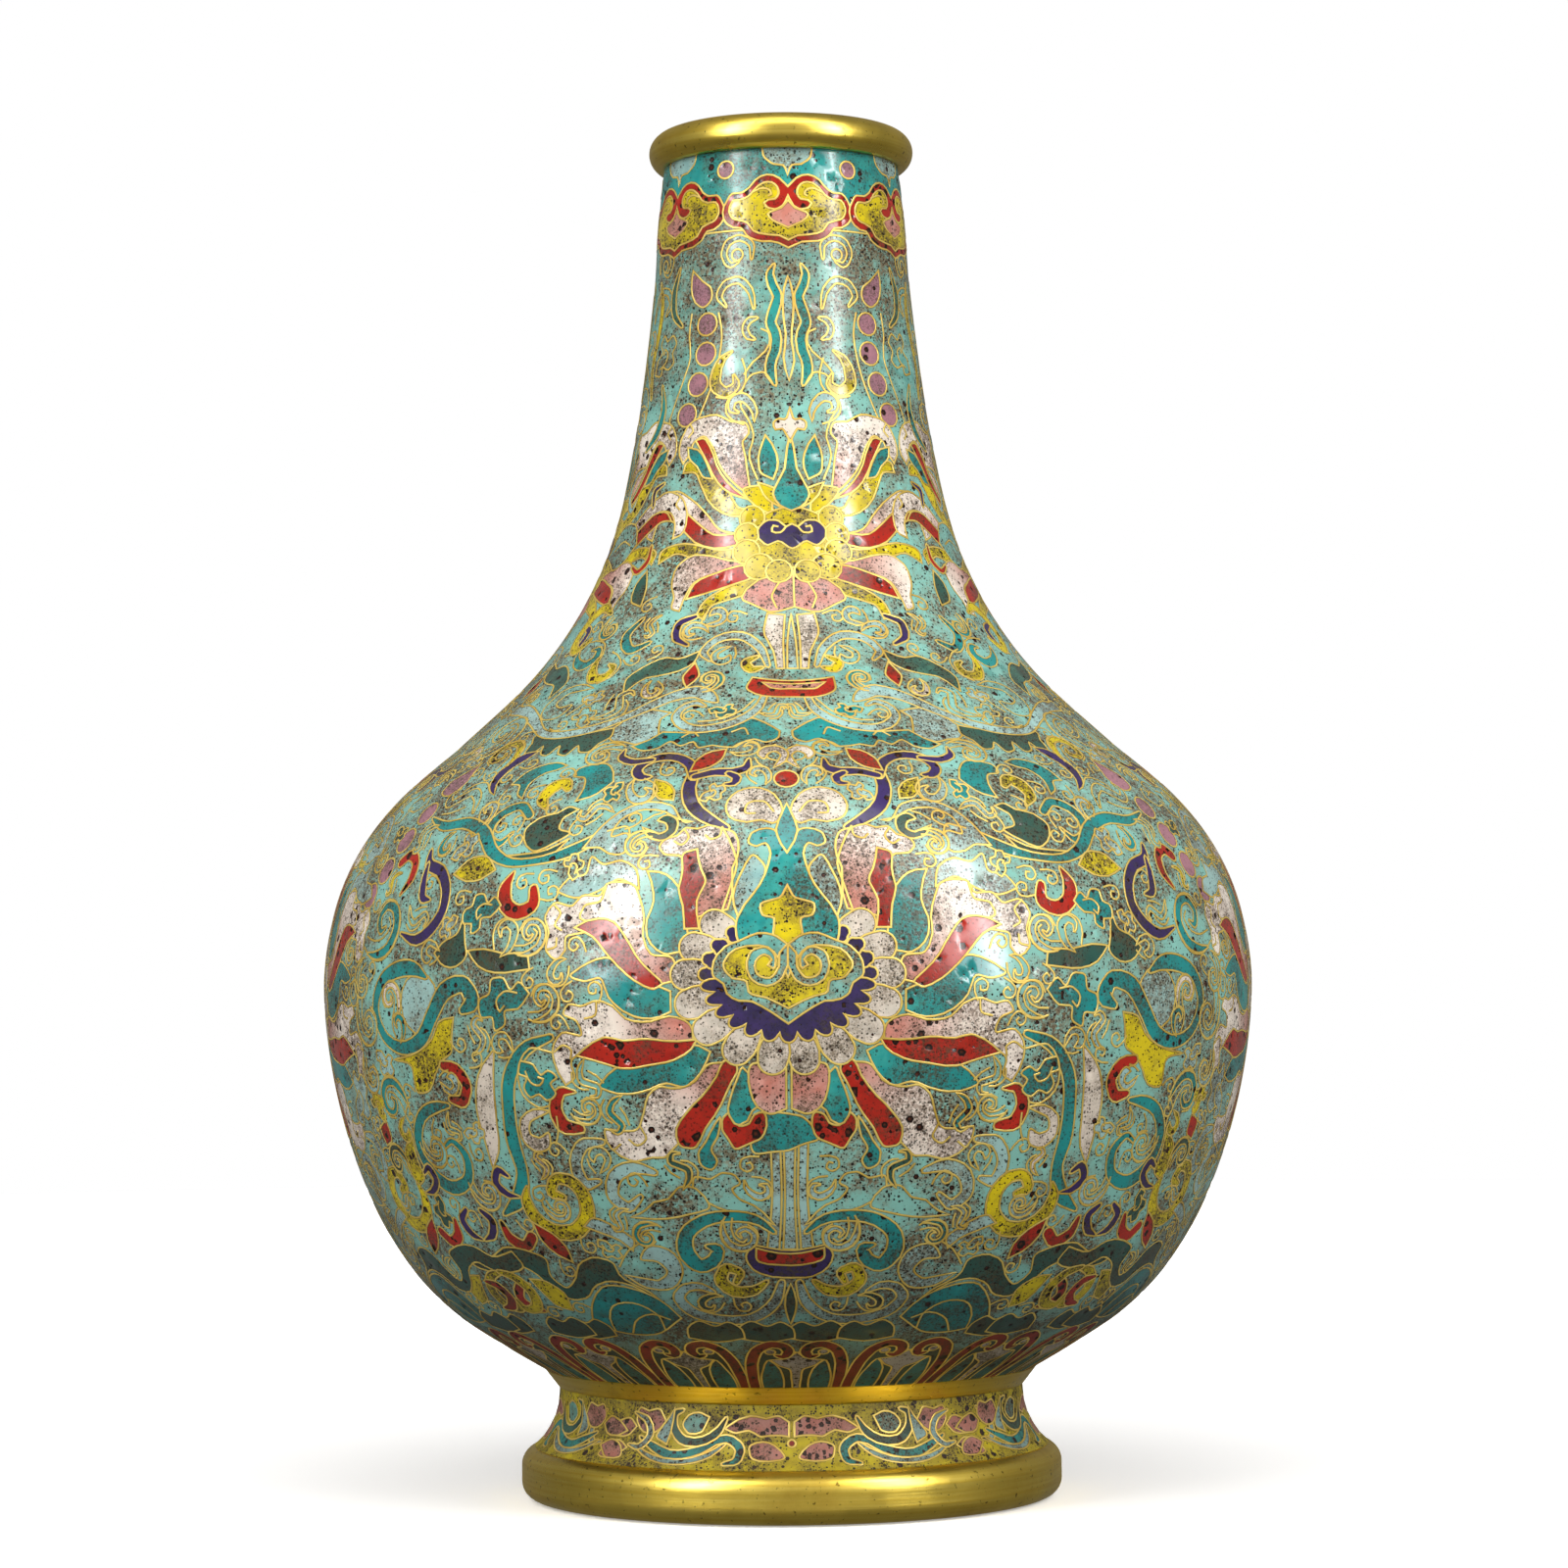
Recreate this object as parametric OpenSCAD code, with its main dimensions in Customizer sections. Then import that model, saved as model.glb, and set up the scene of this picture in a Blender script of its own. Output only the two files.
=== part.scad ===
// Cloisonne bottle vase: a copper body raised in two halves, a copper neck and foot, cast gilt rings at
// the mouth, the waist and the foot, counter-enamel inside, and outside a skin of enamel in six bands
// with coloured inlays let into it and gilt wires round the petals.
// Origin at the middle of the underside, +Z up. The front of the pattern faces -Y.

/* [Vase] */
// Height over the mouth rim
vase_h = 251; // [200:1:400]
// Greatest diameter, at the belly
belly_d = 170; // [150:1:260]

/* [Walls] */
// Thickness of the copper sheet
copper_t = 1.6; // [1.0:0.1:1.8]
// Thickness of the enamel outside, from the copper to the polished skin
enamel_t = 1.0; // [0.8:0.1:1.4]
// Thickness of the counter-enamel inside
lining_t = 0.5; // [0.3:0.1:0.8]
// How deep the inlays and wires are let into the skin
inlay_t = 0.3; // [0.2:0.05:0.5]
// Width of a cloison wire
wire_w = 0.5; // [0.3:0.1:0.8]

/* [Pattern] */
// Lotus flowers round the belly, and the same number round the neck
lotuses = 4; // [3:1:5]
// Ruyi heads in the collar under the mouth
ruyi_heads = 6; // [4:1:6]
// Lappets above the waist
lappets = 18; // [12:1:20]
// Petals in the frieze round the foot
foot_petals = 12; // [8:1:16]

/* [Hidden] */

$fn = 96;
front = -90;              // the angle round the axis that faces the viewer
up = vase_h / 251;        // the outline below is drawn for a vase 251 high and 170 across
out = belly_d / 170;

// Outline of the finished skin: [height, radius] at the stations of the turned form.
BODY_DRAWN = [[23.4, 44.8], [28, 52.5], [34, 61.4], [42, 69.1], [54, 76.2], [72, 82.3], [92, 85],
              [106, 83.3], [117, 79], [127, 71.5], [138, 58.9], [150, 46.3], [162, 37.7], [176, 31.5],
              [196, 27.1], [220, 23.9], [234, 22.9], [246, 21.6]];
FOOT_DRAWN = [[9.4, 47], [11, 45.4], [13, 44.1], [16, 42.8], [20.3, 42.4]];
BODY = [for (s = BODY_DRAWN) [s[0] * up, s[1] * out]];
FOOT = [for (s = FOOT_DRAWN) [s[0] * up, s[1] * out]];

// Heights where one band or wall ends and the next begins.
waist_z = 20.3 * up;
body_z = 23.4 * up;
lappet_z = 33.3 * up;
seam_z = 93 * up;
shoulder_z = 128 * up;
neck_z = 150 * up;
collar_z = 225 * up;
lip_z = 244.4 * up;
foot_z = 9.4 * up;

// The rings and the base.
rim_tube = 3.6;
rim_r = 20.9 * out;
mouth_r = 18 * out;
foot_r = 49.4 * out;
foot_bore_r = 41 * out;
foot_low_round = 3;
foot_top_round = 3.4;
base_t = 1.5;
base_z = 5.5 * up;
collar_proud = 0.25;

// ---- The outline as a smooth curve through its stations ----

// Slope of the outline at a station: the chord between its two neighbours.
function station_slope(st, i) =
    let (a = max(i - 1, 0), b = min(i + 1, len(st) - 1))
    (st[b][1] - st[a][1]) / (st[b][0] - st[a][0]);

// The stretch between two stations that holds the height z.
function stretch_of(st, z) = max([for (i = [0 : len(st) - 2]) if (i == 0 || z >= st[i][0]) i]);

// Radius at the height z: a cubic between the two stations that keeps their slopes.
function radius_at(st, z) =
    let (i = stretch_of(st, z), h = st[i + 1][0] - st[i][0], t = (z - st[i][0]) / h)
    (2 * t ^ 3 - 3 * t ^ 2 + 1) * st[i][1] + (t ^ 3 - 2 * t ^ 2 + t) * h * station_slope(st, i)
    + (3 * t ^ 2 - 2 * t ^ 3) * st[i + 1][1] + (t ^ 3 - t ^ 2) * h * station_slope(st, i + 1);

function lean_at(st, z) = (radius_at(st, z + 0.05) - radius_at(st, z - 0.05)) / 0.1;

// [radius, height] of the point that lies the given depth under the skin, measured square to it.
function under(st, z, depth) =
    let (k = lean_at(st, z), n = sqrt(1 + k * k))
    [radius_at(st, z) - depth / n, z + depth * k / n];

function heights(z0, z1, step = 3) =
    let (n = max(1, ceil((z1 - z0) / step)))
    [for (i = [0 : n]) z0 + (z1 - z0) * i / n];

function reversed(list) = [for (i = [len(list) - 1 : -1 : 0]) list[i]];

// ---- Walls turned about the axis ----

// A wall between two depths under the body's skin, cut square to the skin at both ends.
module body_shell(z0, z1, near, far) {
    z = heights(z0, z1);
    rotate_extrude()
        polygon(concat([for (h = z) under(BODY, h, near)], [for (h = reversed(z)) under(BODY, h, far)]));
}

// A wall of the foot, cut level at both ends.
module foot_shell(z0, z1, near, far) {
    z = heights(z0, z1, 1.6);
    rotate_extrude()
        polygon(concat([for (h = z) [radius_at(FOOT, h) - near, h]],
                       [for (h = reversed(z)) [radius_at(FOOT, h) - far, h]]));
}

// ---- Tiles and wires that lie in the skin ----
// A point of the pattern is [angle round the axis, height].

function place(p, depth) =
    let (q = under(BODY, p[1], depth))
    [q[0] * cos(p[0]), q[0] * sin(p[0]), q[1]];

function mm_per_degree(z) = radius_at(BODY, z) * PI / 180;

// Cross rows of a petal from its root to its tip: left edge, middle, right edge. The width swells to
// its greatest two thirds of the way up, and bend pushes the middle sideways.
function petal_rows(root, tip, width, bend = 0, steps = 3) =
    let (m = mm_per_degree((root[1] + tip[1]) / 2),
         dx = (tip[0] - root[0]) * m, dz = tip[1] - root[1], len = sqrt(dx * dx + dz * dz),
         nx = dz / len, nz = -dx / len)
    [for (i = [0 : steps])
        let (t = i / steps, half = width / 2 * sin(180 * (0.1 + 0.8 * t ^ 1.3)),
             sway = bend * sin(180 * t),
             x = root[0] * m + dx * t + nx * sway, z = root[1] + dz * t + nz * sway)
        [for (s = [-half, 0, half]) [(x + nx * s) / m, z + nz * s]]];

// The edge of a tile, anticlockwise seen from outside, as indices into its rows.
function edge_of(n, m) = concat([for (j = [0 : m - 1]) [0, j]], [for (i = [1 : n - 1]) [i, m - 1]],
                                [for (j = [m - 2 : -1 : 0]) [n - 1, j]], [for (i = [n - 2 : -1 : 1]) [i, 0]]);

// A closed curved tile over a grid of pattern points, between two depths under the skin.
module tile(rows, near, far) {
    n = len(rows);
    m = len(rows[0]);
    size = n * m;
    edge = [for (e = edge_of(n, m)) e[0] * m + e[1]];
    cells = [for (i = [0 : n - 2]) for (j = [0 : m - 2]) i * m + j];
    faces = concat(
        [for (c = cells) each [[c, c + m, c + m + 1], [c, c + m + 1, c + 1]]],
        [for (c = cells)
            let (d = size + c)
            each [[d, d + m + 1, d + m], [d, d + 1, d + m + 1]]],
        [for (k = [0 : len(edge) - 1])
            let (p = edge[k], q = edge[(k + 1) % len(edge)])
            each [[p, q, size + q], [p, size + q, size + p]]]);
    polyhedron(points = concat([for (r = rows) for (p = r) place(p, near)],
                               [for (r = rows) for (p = r) place(p, far)]), faces = faces);
}

// A closed wire round a tile's edge: three corners at each edge point, two in the skin and one under it.
module edge_wire(rows) {
    m = mm_per_degree(rows[0][0][1]);
    ring = [for (e = edge_of(len(rows), len(rows[0]))) if (e[1] != 1) rows[e[0]][e[1]]];
    n = len(ring);
    points = [for (k = [0 : n - 1])
        let (a = ring[(k + n - 1) % n], b = ring[(k + 1) % n], p = ring[k],
             tx = (b[0] - a[0]) * m, tz = b[1] - a[1], len = sqrt(tx * tx + tz * tz),
             ox = tz / len * wire_w / m, oz = -tx / len * wire_w)
        each [place([p[0] + ox, p[1] + oz], 0), place(p, 0), place([p[0] + ox / 2, p[1] + oz / 2], inlay_t)]];
    polyhedron(points = points, faces = [for (k = [0 : n - 1]) for (c = [0 : 2])
        let (i = 3 * k, j = 3 * ((k + 1) % n), d = (c + 1) % 3)
        each [[i + d, j + d, j + c], [i + d, j + c, i + c]]]);
}

// A flat shape drawn in [across, up] millimetres, cut radially out of the inlay layer at one place. The
// layer is turned half a turn, so that the seam of its surface lies on the far side.
module inlay_cut(angle, z, reach) {
    rotate([0, 0, angle])
        intersection() {
            rotate([0, 0, 180])
                body_shell(z - reach, z + reach, 0, inlay_t);
            translate([radius_at(BODY, z) - reach, 0, z])
                rotate([90, 0, 90])
                    linear_extrude(2 * reach)
                        children();
        }
}

module around(count, turn = 0) {
    for (i = [0 : count - 1])
        rotate([0, 0, 360 / count * i + turn])
            children();
}

// A bead: a small disc bedded square to the skin.
module bead(z, r) {
    translate([radius_at(BODY, z), 0, z])
        rotate([0, 90 + atan(lean_at(BODY, z)), 0])
            translate([0, 0, -inlay_t])
                cylinder(r = r, h = inlay_t);
}

// ---- Gilt metal ----

// Cast ring over the lip: a round bar, bored for the mouth and cut flat where it sits on the neck.
module mouth_rim() {
    color("goldenrod")
        rotate_extrude()
            intersection() {
                translate([rim_r, vase_h - rim_tube])
                    circle(rim_tube);
                translate([mouth_r, lip_z])
                    square([2 * rim_tube + rim_r - mouth_r, vase_h - lip_z]);
            }
}

// Narrow band that covers the joint between the body and its foot.
module waist_collar() {
    r = radius_at(FOOT, waist_z);
    top = under(BODY, body_z, enamel_t);
    inner = r - enamel_t;
    color("goldenrod")
        rotate_extrude()
            polygon([[inner, waist_z], [r + collar_proud, waist_z],
                     [(r + BODY[0][1]) / 2 + collar_proud, (waist_z + body_z) / 2],
                     [BODY[0][1] + collar_proud, body_z], top, [inner, top[1]]]);
}

// Heavy cast ring that the vase stands on, with a rounded lower edge and a rounded shoulder.
module foot_rim() {
    low_r = foot_r - foot_low_round;
    top_r = foot_r - foot_top_round;
    top_c = foot_z - foot_top_round;
    color("goldenrod")
        rotate_extrude()
            union() {
                translate([foot_bore_r, 0])
                    square([low_r - foot_bore_r, foot_z]);
                translate([foot_bore_r, foot_low_round])
                    square([foot_r - foot_bore_r, top_c - foot_low_round]);
                translate([foot_bore_r, 0])
                    square([top_r - foot_bore_r, foot_z]);
                translate([low_r, foot_low_round])
                    circle(foot_low_round);
                translate([top_r, top_c])
                    circle(foot_top_round);
            }
}

// ---- Copper ----

module neck_tube() {
    color("peru")
        difference() {
            body_shell(neck_z, lip_z + 0.5, enamel_t, enamel_t + copper_t);
            translate([0, 0, lip_z])
                cylinder(r = foot_r, h = 10);
        }
}

module upper_body() {
    color("peru")
        body_shell(seam_z, neck_z, enamel_t, enamel_t + copper_t);
}

// Lower half of the body, with the floor that closes it.
module lower_body() {
    z = heights(body_z, seam_z);
    outer = [for (h = z) under(BODY, h, enamel_t)];
    inner = [for (h = reversed(z)) under(BODY, h, enamel_t + copper_t)];
    color("peru")
        rotate_extrude()
            polygon(concat(outer, inner, [[0, inner[len(inner) - 1][1]], [0, outer[0][1]]]));
}

// Flared foot, whose upper edge stands up inside the waist collar to the floor of the body.
module foot_skirt() {
    z = heights(foot_z, waist_z, 1.6);
    floor_z = under(BODY, body_z, enamel_t)[1];
    outer = [for (h = z) [radius_at(FOOT, h) - enamel_t, h]];
    inner = [for (h = reversed(z)) [radius_at(FOOT, h) - enamel_t - copper_t, h]];
    color("peru")
        rotate_extrude()
            polygon(concat(outer, [[outer[len(outer) - 1][0], floor_z], [inner[0][0], floor_z]], inner));
}

module base_plate() {
    color("goldenrod")
        translate([0, 0, base_z])
            cylinder(r = foot_bore_r, h = base_t);
}

// ---- Counter-enamel inside ----

module neck_lining() {
    depth = enamel_t + copper_t;
    color("mediumturquoise")
        difference() {
            body_shell(neck_z, lip_z + 0.5, depth, depth + lining_t);
            translate([0, 0, lip_z])
                cylinder(r = foot_r, h = 10);
        }
}

module body_lining() {
    depth = enamel_t + copper_t;
    z = heights(body_z, neck_z);
    outer = [for (h = z) under(BODY, h, depth)];
    inner = [for (h = reversed(heights(body_z + lining_t, neck_z))) under(BODY, h, depth + lining_t)];
    floor_top = inner[len(inner) - 1][1];
    color("mediumturquoise")
        rotate_extrude()
            polygon(concat(outer, inner, [[0, floor_top], [0, outer[0][1]]]));
}

// ---- Enamel grounds, one shell for each band ----

module collar_enamel() {
    color("lightseagreen")
        difference() {
            body_shell(collar_z, lip_z + 0.5, inlay_t, enamel_t);
            translate([0, 0, lip_z])
                cylinder(r = foot_r, h = 10);
        }
}

module neck_enamel() {
    color("mediumaquamarine")
        body_shell(neck_z, collar_z, inlay_t, enamel_t);
}

module shoulder_enamel() {
    color("cadetblue")
        body_shell(shoulder_z, neck_z, inlay_t, enamel_t);
}

module belly_enamel() {
    color("mediumaquamarine")
        body_shell(lappet_z, shoulder_z, inlay_t, enamel_t);
}

module lappet_enamel() {
    color("darkcyan")
        body_shell(body_z, lappet_z, inlay_t, enamel_t);
}

module foot_enamel() {
    color("khaki")
        foot_shell(foot_z, waist_z, inlay_t, enamel_t);
}

// ---- Inlays ----

// Ruyi head: two upper lobes, a broad middle and a soft point below.
module ruyi_outline(w) {
    for (side = [-1, 1])
        translate([side * w * 0.28, w * 0.08])
            circle(w * 0.22);
    translate([0, -w * 0.06])
        circle(w * 0.24);
    polygon([[-w * 0.46, 0], [w * 0.46, 0], [0, -w * 0.34]]);
}

module ruyi_inlays() {
    middle_z = collar_z + 7.5;
    width = 19;
    reach = 6;
    color("firebrick")
        for (i = [0 : ruyi_heads - 1])
            inlay_cut(front + 360 / ruyi_heads * i, middle_z, reach)
                ruyi_outline(width);
}

// One bead between each two ruyi heads.
module collar_beads() {
    bead_z = collar_z + 14.5;
    bead_r = 1.5;
    color("thistle")
        around(ruyi_heads, front + 180 / ruyi_heads)
            bead(bead_z, bead_r);
}

// Strings of beads that hang between the lotus flowers of the neck.
module bead_strings() {
    top = 214 * up;
    pitch = 5.2;
    beads = 5;
    bead_r = 2;
    color("rosybrown")
        around(lotuses, front + 180 / lotuses)
            for (k = [0 : beads - 1])
                bead(top - pitch * k, bead_r);
}

// Petals of a flower as [turn from upright, length, width], right-hand side only.
BELLY_PETALS = [[32, 24, 7], [58, 29, 8], [84, 30, 7], [108, 28, 8], [130, 26, 8], [155, 20, 8]];
NECK_PETALS = [[38, 17, 4], [68, 18, 4.5], [98, 17, 4], [128, 15, 4.5]];

// Rows of every petal of one flower: heart radius, middle height, and its list of right-hand petals.
function flower(z, heart, petals) =
    [for (p = petals) for (side = [-1, 1])
        let (m = mm_per_degree(z), a = side * p[0], from = heart * 1.15, to = p[1] * 1.1)
        petal_rows([from * sin(a) / m, z + from * cos(a)], [to * sin(a) / m, z + to * cos(a)], p[2], -side)];

belly_flower_z = 94 * up;
neck_flower_z = 172.7 * up;
belly_heart_r = 12;
neck_heart_r = 5;
heart_gap = 1;            // the heart's inlay keeps this far inside the petals' roots

module belly_lotus_petals() {
    color("indianred")
        around(lotuses, front)
            for (rows = flower(belly_flower_z, belly_heart_r, BELLY_PETALS))
                tile(rows, 0, inlay_t);
}

module belly_lotus_wires() {
    color("gold")
        around(lotuses, front)
            for (rows = flower(belly_flower_z, belly_heart_r, BELLY_PETALS))
                edge_wire(rows);
}

module neck_lotus_petals() {
    color("palevioletred")
        around(lotuses, front)
            for (rows = flower(neck_flower_z, neck_heart_r, NECK_PETALS))
                tile(rows, 0, inlay_t);
}

module belly_lotus_hearts() {
    color("gold")
        for (i = [0 : lotuses - 1])
            inlay_cut(front + 360 / lotuses * i, belly_flower_z, belly_heart_r + heart_gap)
                circle(belly_heart_r - heart_gap);
}

module neck_lotus_hearts() {
    color("slateblue")
        for (i = [0 : lotuses - 1])
            inlay_cut(front + 360 / lotuses * i, neck_flower_z, neck_heart_r + 2 * heart_gap)
                circle(neck_heart_r - heart_gap);
}

// The ties that gather the stems under each flower: [height, length, width].
module tie_bands() {
    ties = [[144.6 * up, 14, 3], [47.5 * up, 15, 3.6]];
    reach = 5;
    color("firebrick")
        for (i = [0 : lotuses - 1], tie = ties)
            inlay_cut(front + 360 / lotuses * i, tie[0], reach)
                round_bar(tie[1], tie[2]);
}

// A bar with round ends.
module round_bar(w, h) {
    square([w - h, h], center = true);
    for (side = [-1, 1])
        translate([side * (w - h) / 2, 0])
            circle(h / 2);
}

// One leaning leaf in each lappet.
module lappet_inlays() {
    low = body_z + 1.2;
    high = lappet_z - 0.8;
    pitch = 360 / lappets;
    leaf_w = 3.4;
    leaf_bend = 0.6;
    color("brown")
        around(lappets, front)
            tile(petal_rows([pitch * 0.28, low], [pitch * 0.12, high], leaf_w, leaf_bend), 0, inlay_t);
}

module foot_inlays() {
    z = (foot_z + waist_z) / 2 + 1;
    margin = 0.5;
    reach = 5;
    length = 9;
    width = 4;
    color("plum")
        around(foot_petals, front)
            intersection() {
                rotate([0, 0, 180])
                    foot_shell(foot_z + margin, waist_z - margin, 0, inlay_t);
                translate([radius_at(FOOT, z) - reach, 0, z])
                    rotate([90, 0, 90])
                        linear_extrude(2 * reach)
                            round_bar(length, width);
            }
}

mouth_rim();
neck_tube();
upper_body();
lower_body();
foot_skirt();
waist_collar();
foot_rim();
base_plate();
neck_lining();
body_lining();
collar_enamel();
neck_enamel();
shoulder_enamel();
belly_enamel();
lappet_enamel();
foot_enamel();
ruyi_inlays();
collar_beads();
bead_strings();
neck_lotus_petals();
neck_lotus_hearts();
belly_lotus_petals();
belly_lotus_hearts();
belly_lotus_wires();
tie_bands();
lappet_inlays();
foot_inlays();
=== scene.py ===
"""Cloisonne vase: enamel cells, their gilt wires and the gilt rings, built over the turned body.

Everything on the skin is drawn in (u, w): u is the angle from the front in degrees, positive to the
viewer's right, and w is the height along the skin in the same scale, the integral of ds / r in degrees.
A shape drawn in (u, w) keeps its proportions anywhere on the vase. w = 0 is the middle of the belly flower.
"""
import math

import bpy
import numpy as np
from mathutils import Matrix, Vector
from mathutils.geometry import delaunay_2d_cdt


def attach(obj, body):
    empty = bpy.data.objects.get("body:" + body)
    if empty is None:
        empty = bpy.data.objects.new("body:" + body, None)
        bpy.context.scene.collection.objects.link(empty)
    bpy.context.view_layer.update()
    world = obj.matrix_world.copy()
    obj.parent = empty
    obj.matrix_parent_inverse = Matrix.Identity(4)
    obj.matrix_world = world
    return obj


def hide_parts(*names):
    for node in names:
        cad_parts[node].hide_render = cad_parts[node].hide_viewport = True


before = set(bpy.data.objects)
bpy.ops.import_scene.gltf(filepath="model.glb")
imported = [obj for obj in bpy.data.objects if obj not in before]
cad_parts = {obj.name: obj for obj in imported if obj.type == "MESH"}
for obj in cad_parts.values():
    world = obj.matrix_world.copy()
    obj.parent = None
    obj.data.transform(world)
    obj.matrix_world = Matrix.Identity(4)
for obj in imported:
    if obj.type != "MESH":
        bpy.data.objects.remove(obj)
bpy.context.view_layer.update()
MM = 0.001
SHARP_EDGE = 1.05   # in radians: edges that turn more than this are shaded sharp
TOP = 9999          # a height along the skin above everything

# Heights in mm and radii of the turned outline, as in the CAD.
BODY = ((23.4, 44.8), (28, 52.5), (34, 61.4), (42, 69.1), (54, 76.2), (72, 82.3), (92, 85), (106, 83.3),
        (117, 79), (127, 71.5), (138, 58.9), (150, 46.3), (162, 37.7), (176, 31.5), (196, 27.1), (220, 23.9),
        (234, 22.9), (246, 21.6))
FOOT = ((9.4, 47), (11, 45.4), (13, 44.1), (16, 42.8), (20.3, 42.4))


# ---- The skin ----

def outline(stations, z):
    """Radius and slope at the heights z: r(z) is the cubic through the stations whose slope at each station
    is the chord between its two neighbours."""
    zs, rs = np.array(stations, float).T
    index = np.arange(len(zs))
    low, high = np.maximum(index - 1, 0), np.minimum(index + 1, len(zs) - 1)
    slope = (rs[high] - rs[low]) / (zs[high] - zs[low])
    i = np.clip(np.searchsorted(zs, z, side="right") - 1, 0, len(zs) - 2)
    h = zs[i + 1] - zs[i]
    t = (z - zs[i]) / h
    r = ((2 * t**3 - 3 * t**2 + 1) * rs[i] + (t**3 - 2 * t**2 + t) * h * slope[i]
         + (3 * t**2 - 2 * t**3) * rs[i + 1] + (t**3 - t**2) * h * slope[i + 1])
    k = ((6 * t**2 - 6 * t) * (rs[i] - rs[i + 1]) / h + (3 * t**2 - 4 * t + 1) * slope[i]
         + (3 * t**2 - 2 * t) * slope[i + 1])
    return r, k


class Skin:
    """The outer surface of a turned wall, with w(z) = the integral of sqrt(1 + k^2) / r dz, in degrees."""

    def __init__(self, stations, z_known, w_known):
        self.stations = stations
        self.z = np.linspace(stations[0][0], stations[-1][0], 4000)
        r, k = outline(stations, self.z)
        rate = np.sqrt(1 + k * k) / r
        w = np.degrees(np.concatenate([[0], np.cumsum((rate[1:] + rate[:-1]) / 2 * np.diff(self.z))]))
        self.w = w + w_known - np.interp(z_known, self.z, w)

    def rise(self, z):
        """The height w along the skin at the height z in mm."""
        return float(np.interp(z, self.z, self.w))

    def mm(self, w):
        """Millimetres in a degree at w."""
        return np.radians(outline(self.stations, np.interp(w, self.w, self.z))[0])

    def lift(self, u, w, depth):
        """x = (r - d / n) sin u, y = -(r - d / n) cos u, z = z(w) + d k / n with n = sqrt(1 + k^2): the point
        at the depth d in mm, square to the skin."""
        z = np.interp(w, self.w, self.z)
        r, k = outline(self.stations, z)
        n = np.sqrt(1 + k * k)
        a = np.radians(u)
        r = r - depth / n
        return np.stack([r * np.sin(a), -r * np.cos(a), z + depth * k / n], -1) * MM


# ---- Drawing ----

def read(text):
    """Points written "x,y" or "x,y,width", and which of them are sharp corners, marked with "!"."""
    words = text.split()
    return (np.array([[float(v) for v in word.rstrip("!").split(",")] for word in words]),
            np.array([word.endswith("!") for word in words]))


def curve(points, corner, closed, step):
    """Cubic through the points. Its direction at a point is the mean of the chords before and after it, each
    weighted with the other's length; at a corner each side keeps its own chord."""
    after, before = np.roll(points, -1, 0) - points, points - np.roll(points, 1, 0)
    far = np.maximum(np.hypot(after[:, 0], after[:, 1]), 1e-6)[:, None]
    near = np.roll(far, 1, 0)
    mean = (after / far * near + before / near * far) / (far + near)
    leave = np.where(corner[:, None], after / far, mean)
    arrive = np.where(corner[:, None], before / near, mean)
    if not closed:
        leave[0], arrive[-1] = (after / far)[0], (before / near)[-1]
    out = []
    for i in range(len(points) if closed else len(points) - 1):
        j = (i + 1) % len(points)
        n = max(2, math.ceil(far[i, 0] / step))
        t = (np.arange(n) / n)[:, None]
        out.append((2 * t**3 - 3 * t**2 + 1) * points[i] + (t**3 - 2 * t**2 + t) * leave[i] * far[i]
                   + (3 * t**2 - 2 * t**3) * points[j] + (t**3 - t**2) * arrive[j] * far[i])
    if not closed:
        out.append(points[-1:])
    return np.concatenate(out)


def ribbon(path, step):
    """Outline of a stroke: a path carried half its width to both sides, with round ends."""
    way, half = path[:, :2], np.maximum(path[:, 2:], 0.1) / 2
    run = np.gradient(way, axis=0)
    run /= np.maximum(np.hypot(run[:, 0], run[:, 1]), 1e-9)[:, None]
    side = np.stack([-run[:, 1], run[:, 0]], -1)

    def cap(i, turn):
        a = np.linspace(90, -90, max(3, math.ceil(math.pi * half[i, 0] / step) + 1))[1:-1, None]
        a = np.radians(a + turn)
        return way[i] + half[i] * (np.cos(a) * run[i] + np.sin(a) * side[i])
    return np.concatenate([way + side * half, cap(-1, 0), (way - side * half)[::-1], cap(0, 180)])


def winding(ring, points):
    """How often the ring goes round each point."""
    a, b = ring, np.roll(ring, -1, 0)
    total = np.zeros(len(points), int)
    pairs_at_once = 4000000
    for part in np.array_split(np.arange(len(points)), 1 + len(points) * len(ring) // pairs_at_once):
        p = points[part][:, None]
        left = (b[:, 0] - a[:, 0]) * (p[..., 1] - a[:, 1]) - (p[..., 0] - a[:, 0]) * (b[:, 1] - a[:, 1])
        up = (a[:, 1] <= p[..., 1]) & (b[:, 1] > p[..., 1]) & (left > 0)
        down = (a[:, 1] > p[..., 1]) & (b[:, 1] <= p[..., 1]) & (left < 0)
        total[part] = up.sum(1) - down.sum(1)
    return total


def chains(edges):
    """Joins edges end to end into paths that stop where three or more meet. A loop ends where it began."""
    around = {}
    for a, b in edges.tolist():
        around.setdefault(a, []).append(b)
        around.setdefault(b, []).append(a)
    left = {(min(e), max(e)): True for e in map(tuple, edges.tolist())}
    paths = []

    def walk(a, b):
        path = [a, b]
        left.pop((min(a, b), max(a, b)), None)
        while len(around[b]) == 2:
            c = around[b][0] if around[b][0] != a else around[b][1]
            if left.pop((min(b, c), max(b, c)), None) is None:
                break
            a, b = b, c
            path.append(b)
        paths.append(path)
    for a in [a for a in around if len(around[a]) != 2]:
        for b in around[a]:
            if (min(a, b), max(a, b)) in left:
                walk(a, b)
    while left:
        walk(*next(iter(left)))
    return paths


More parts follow.
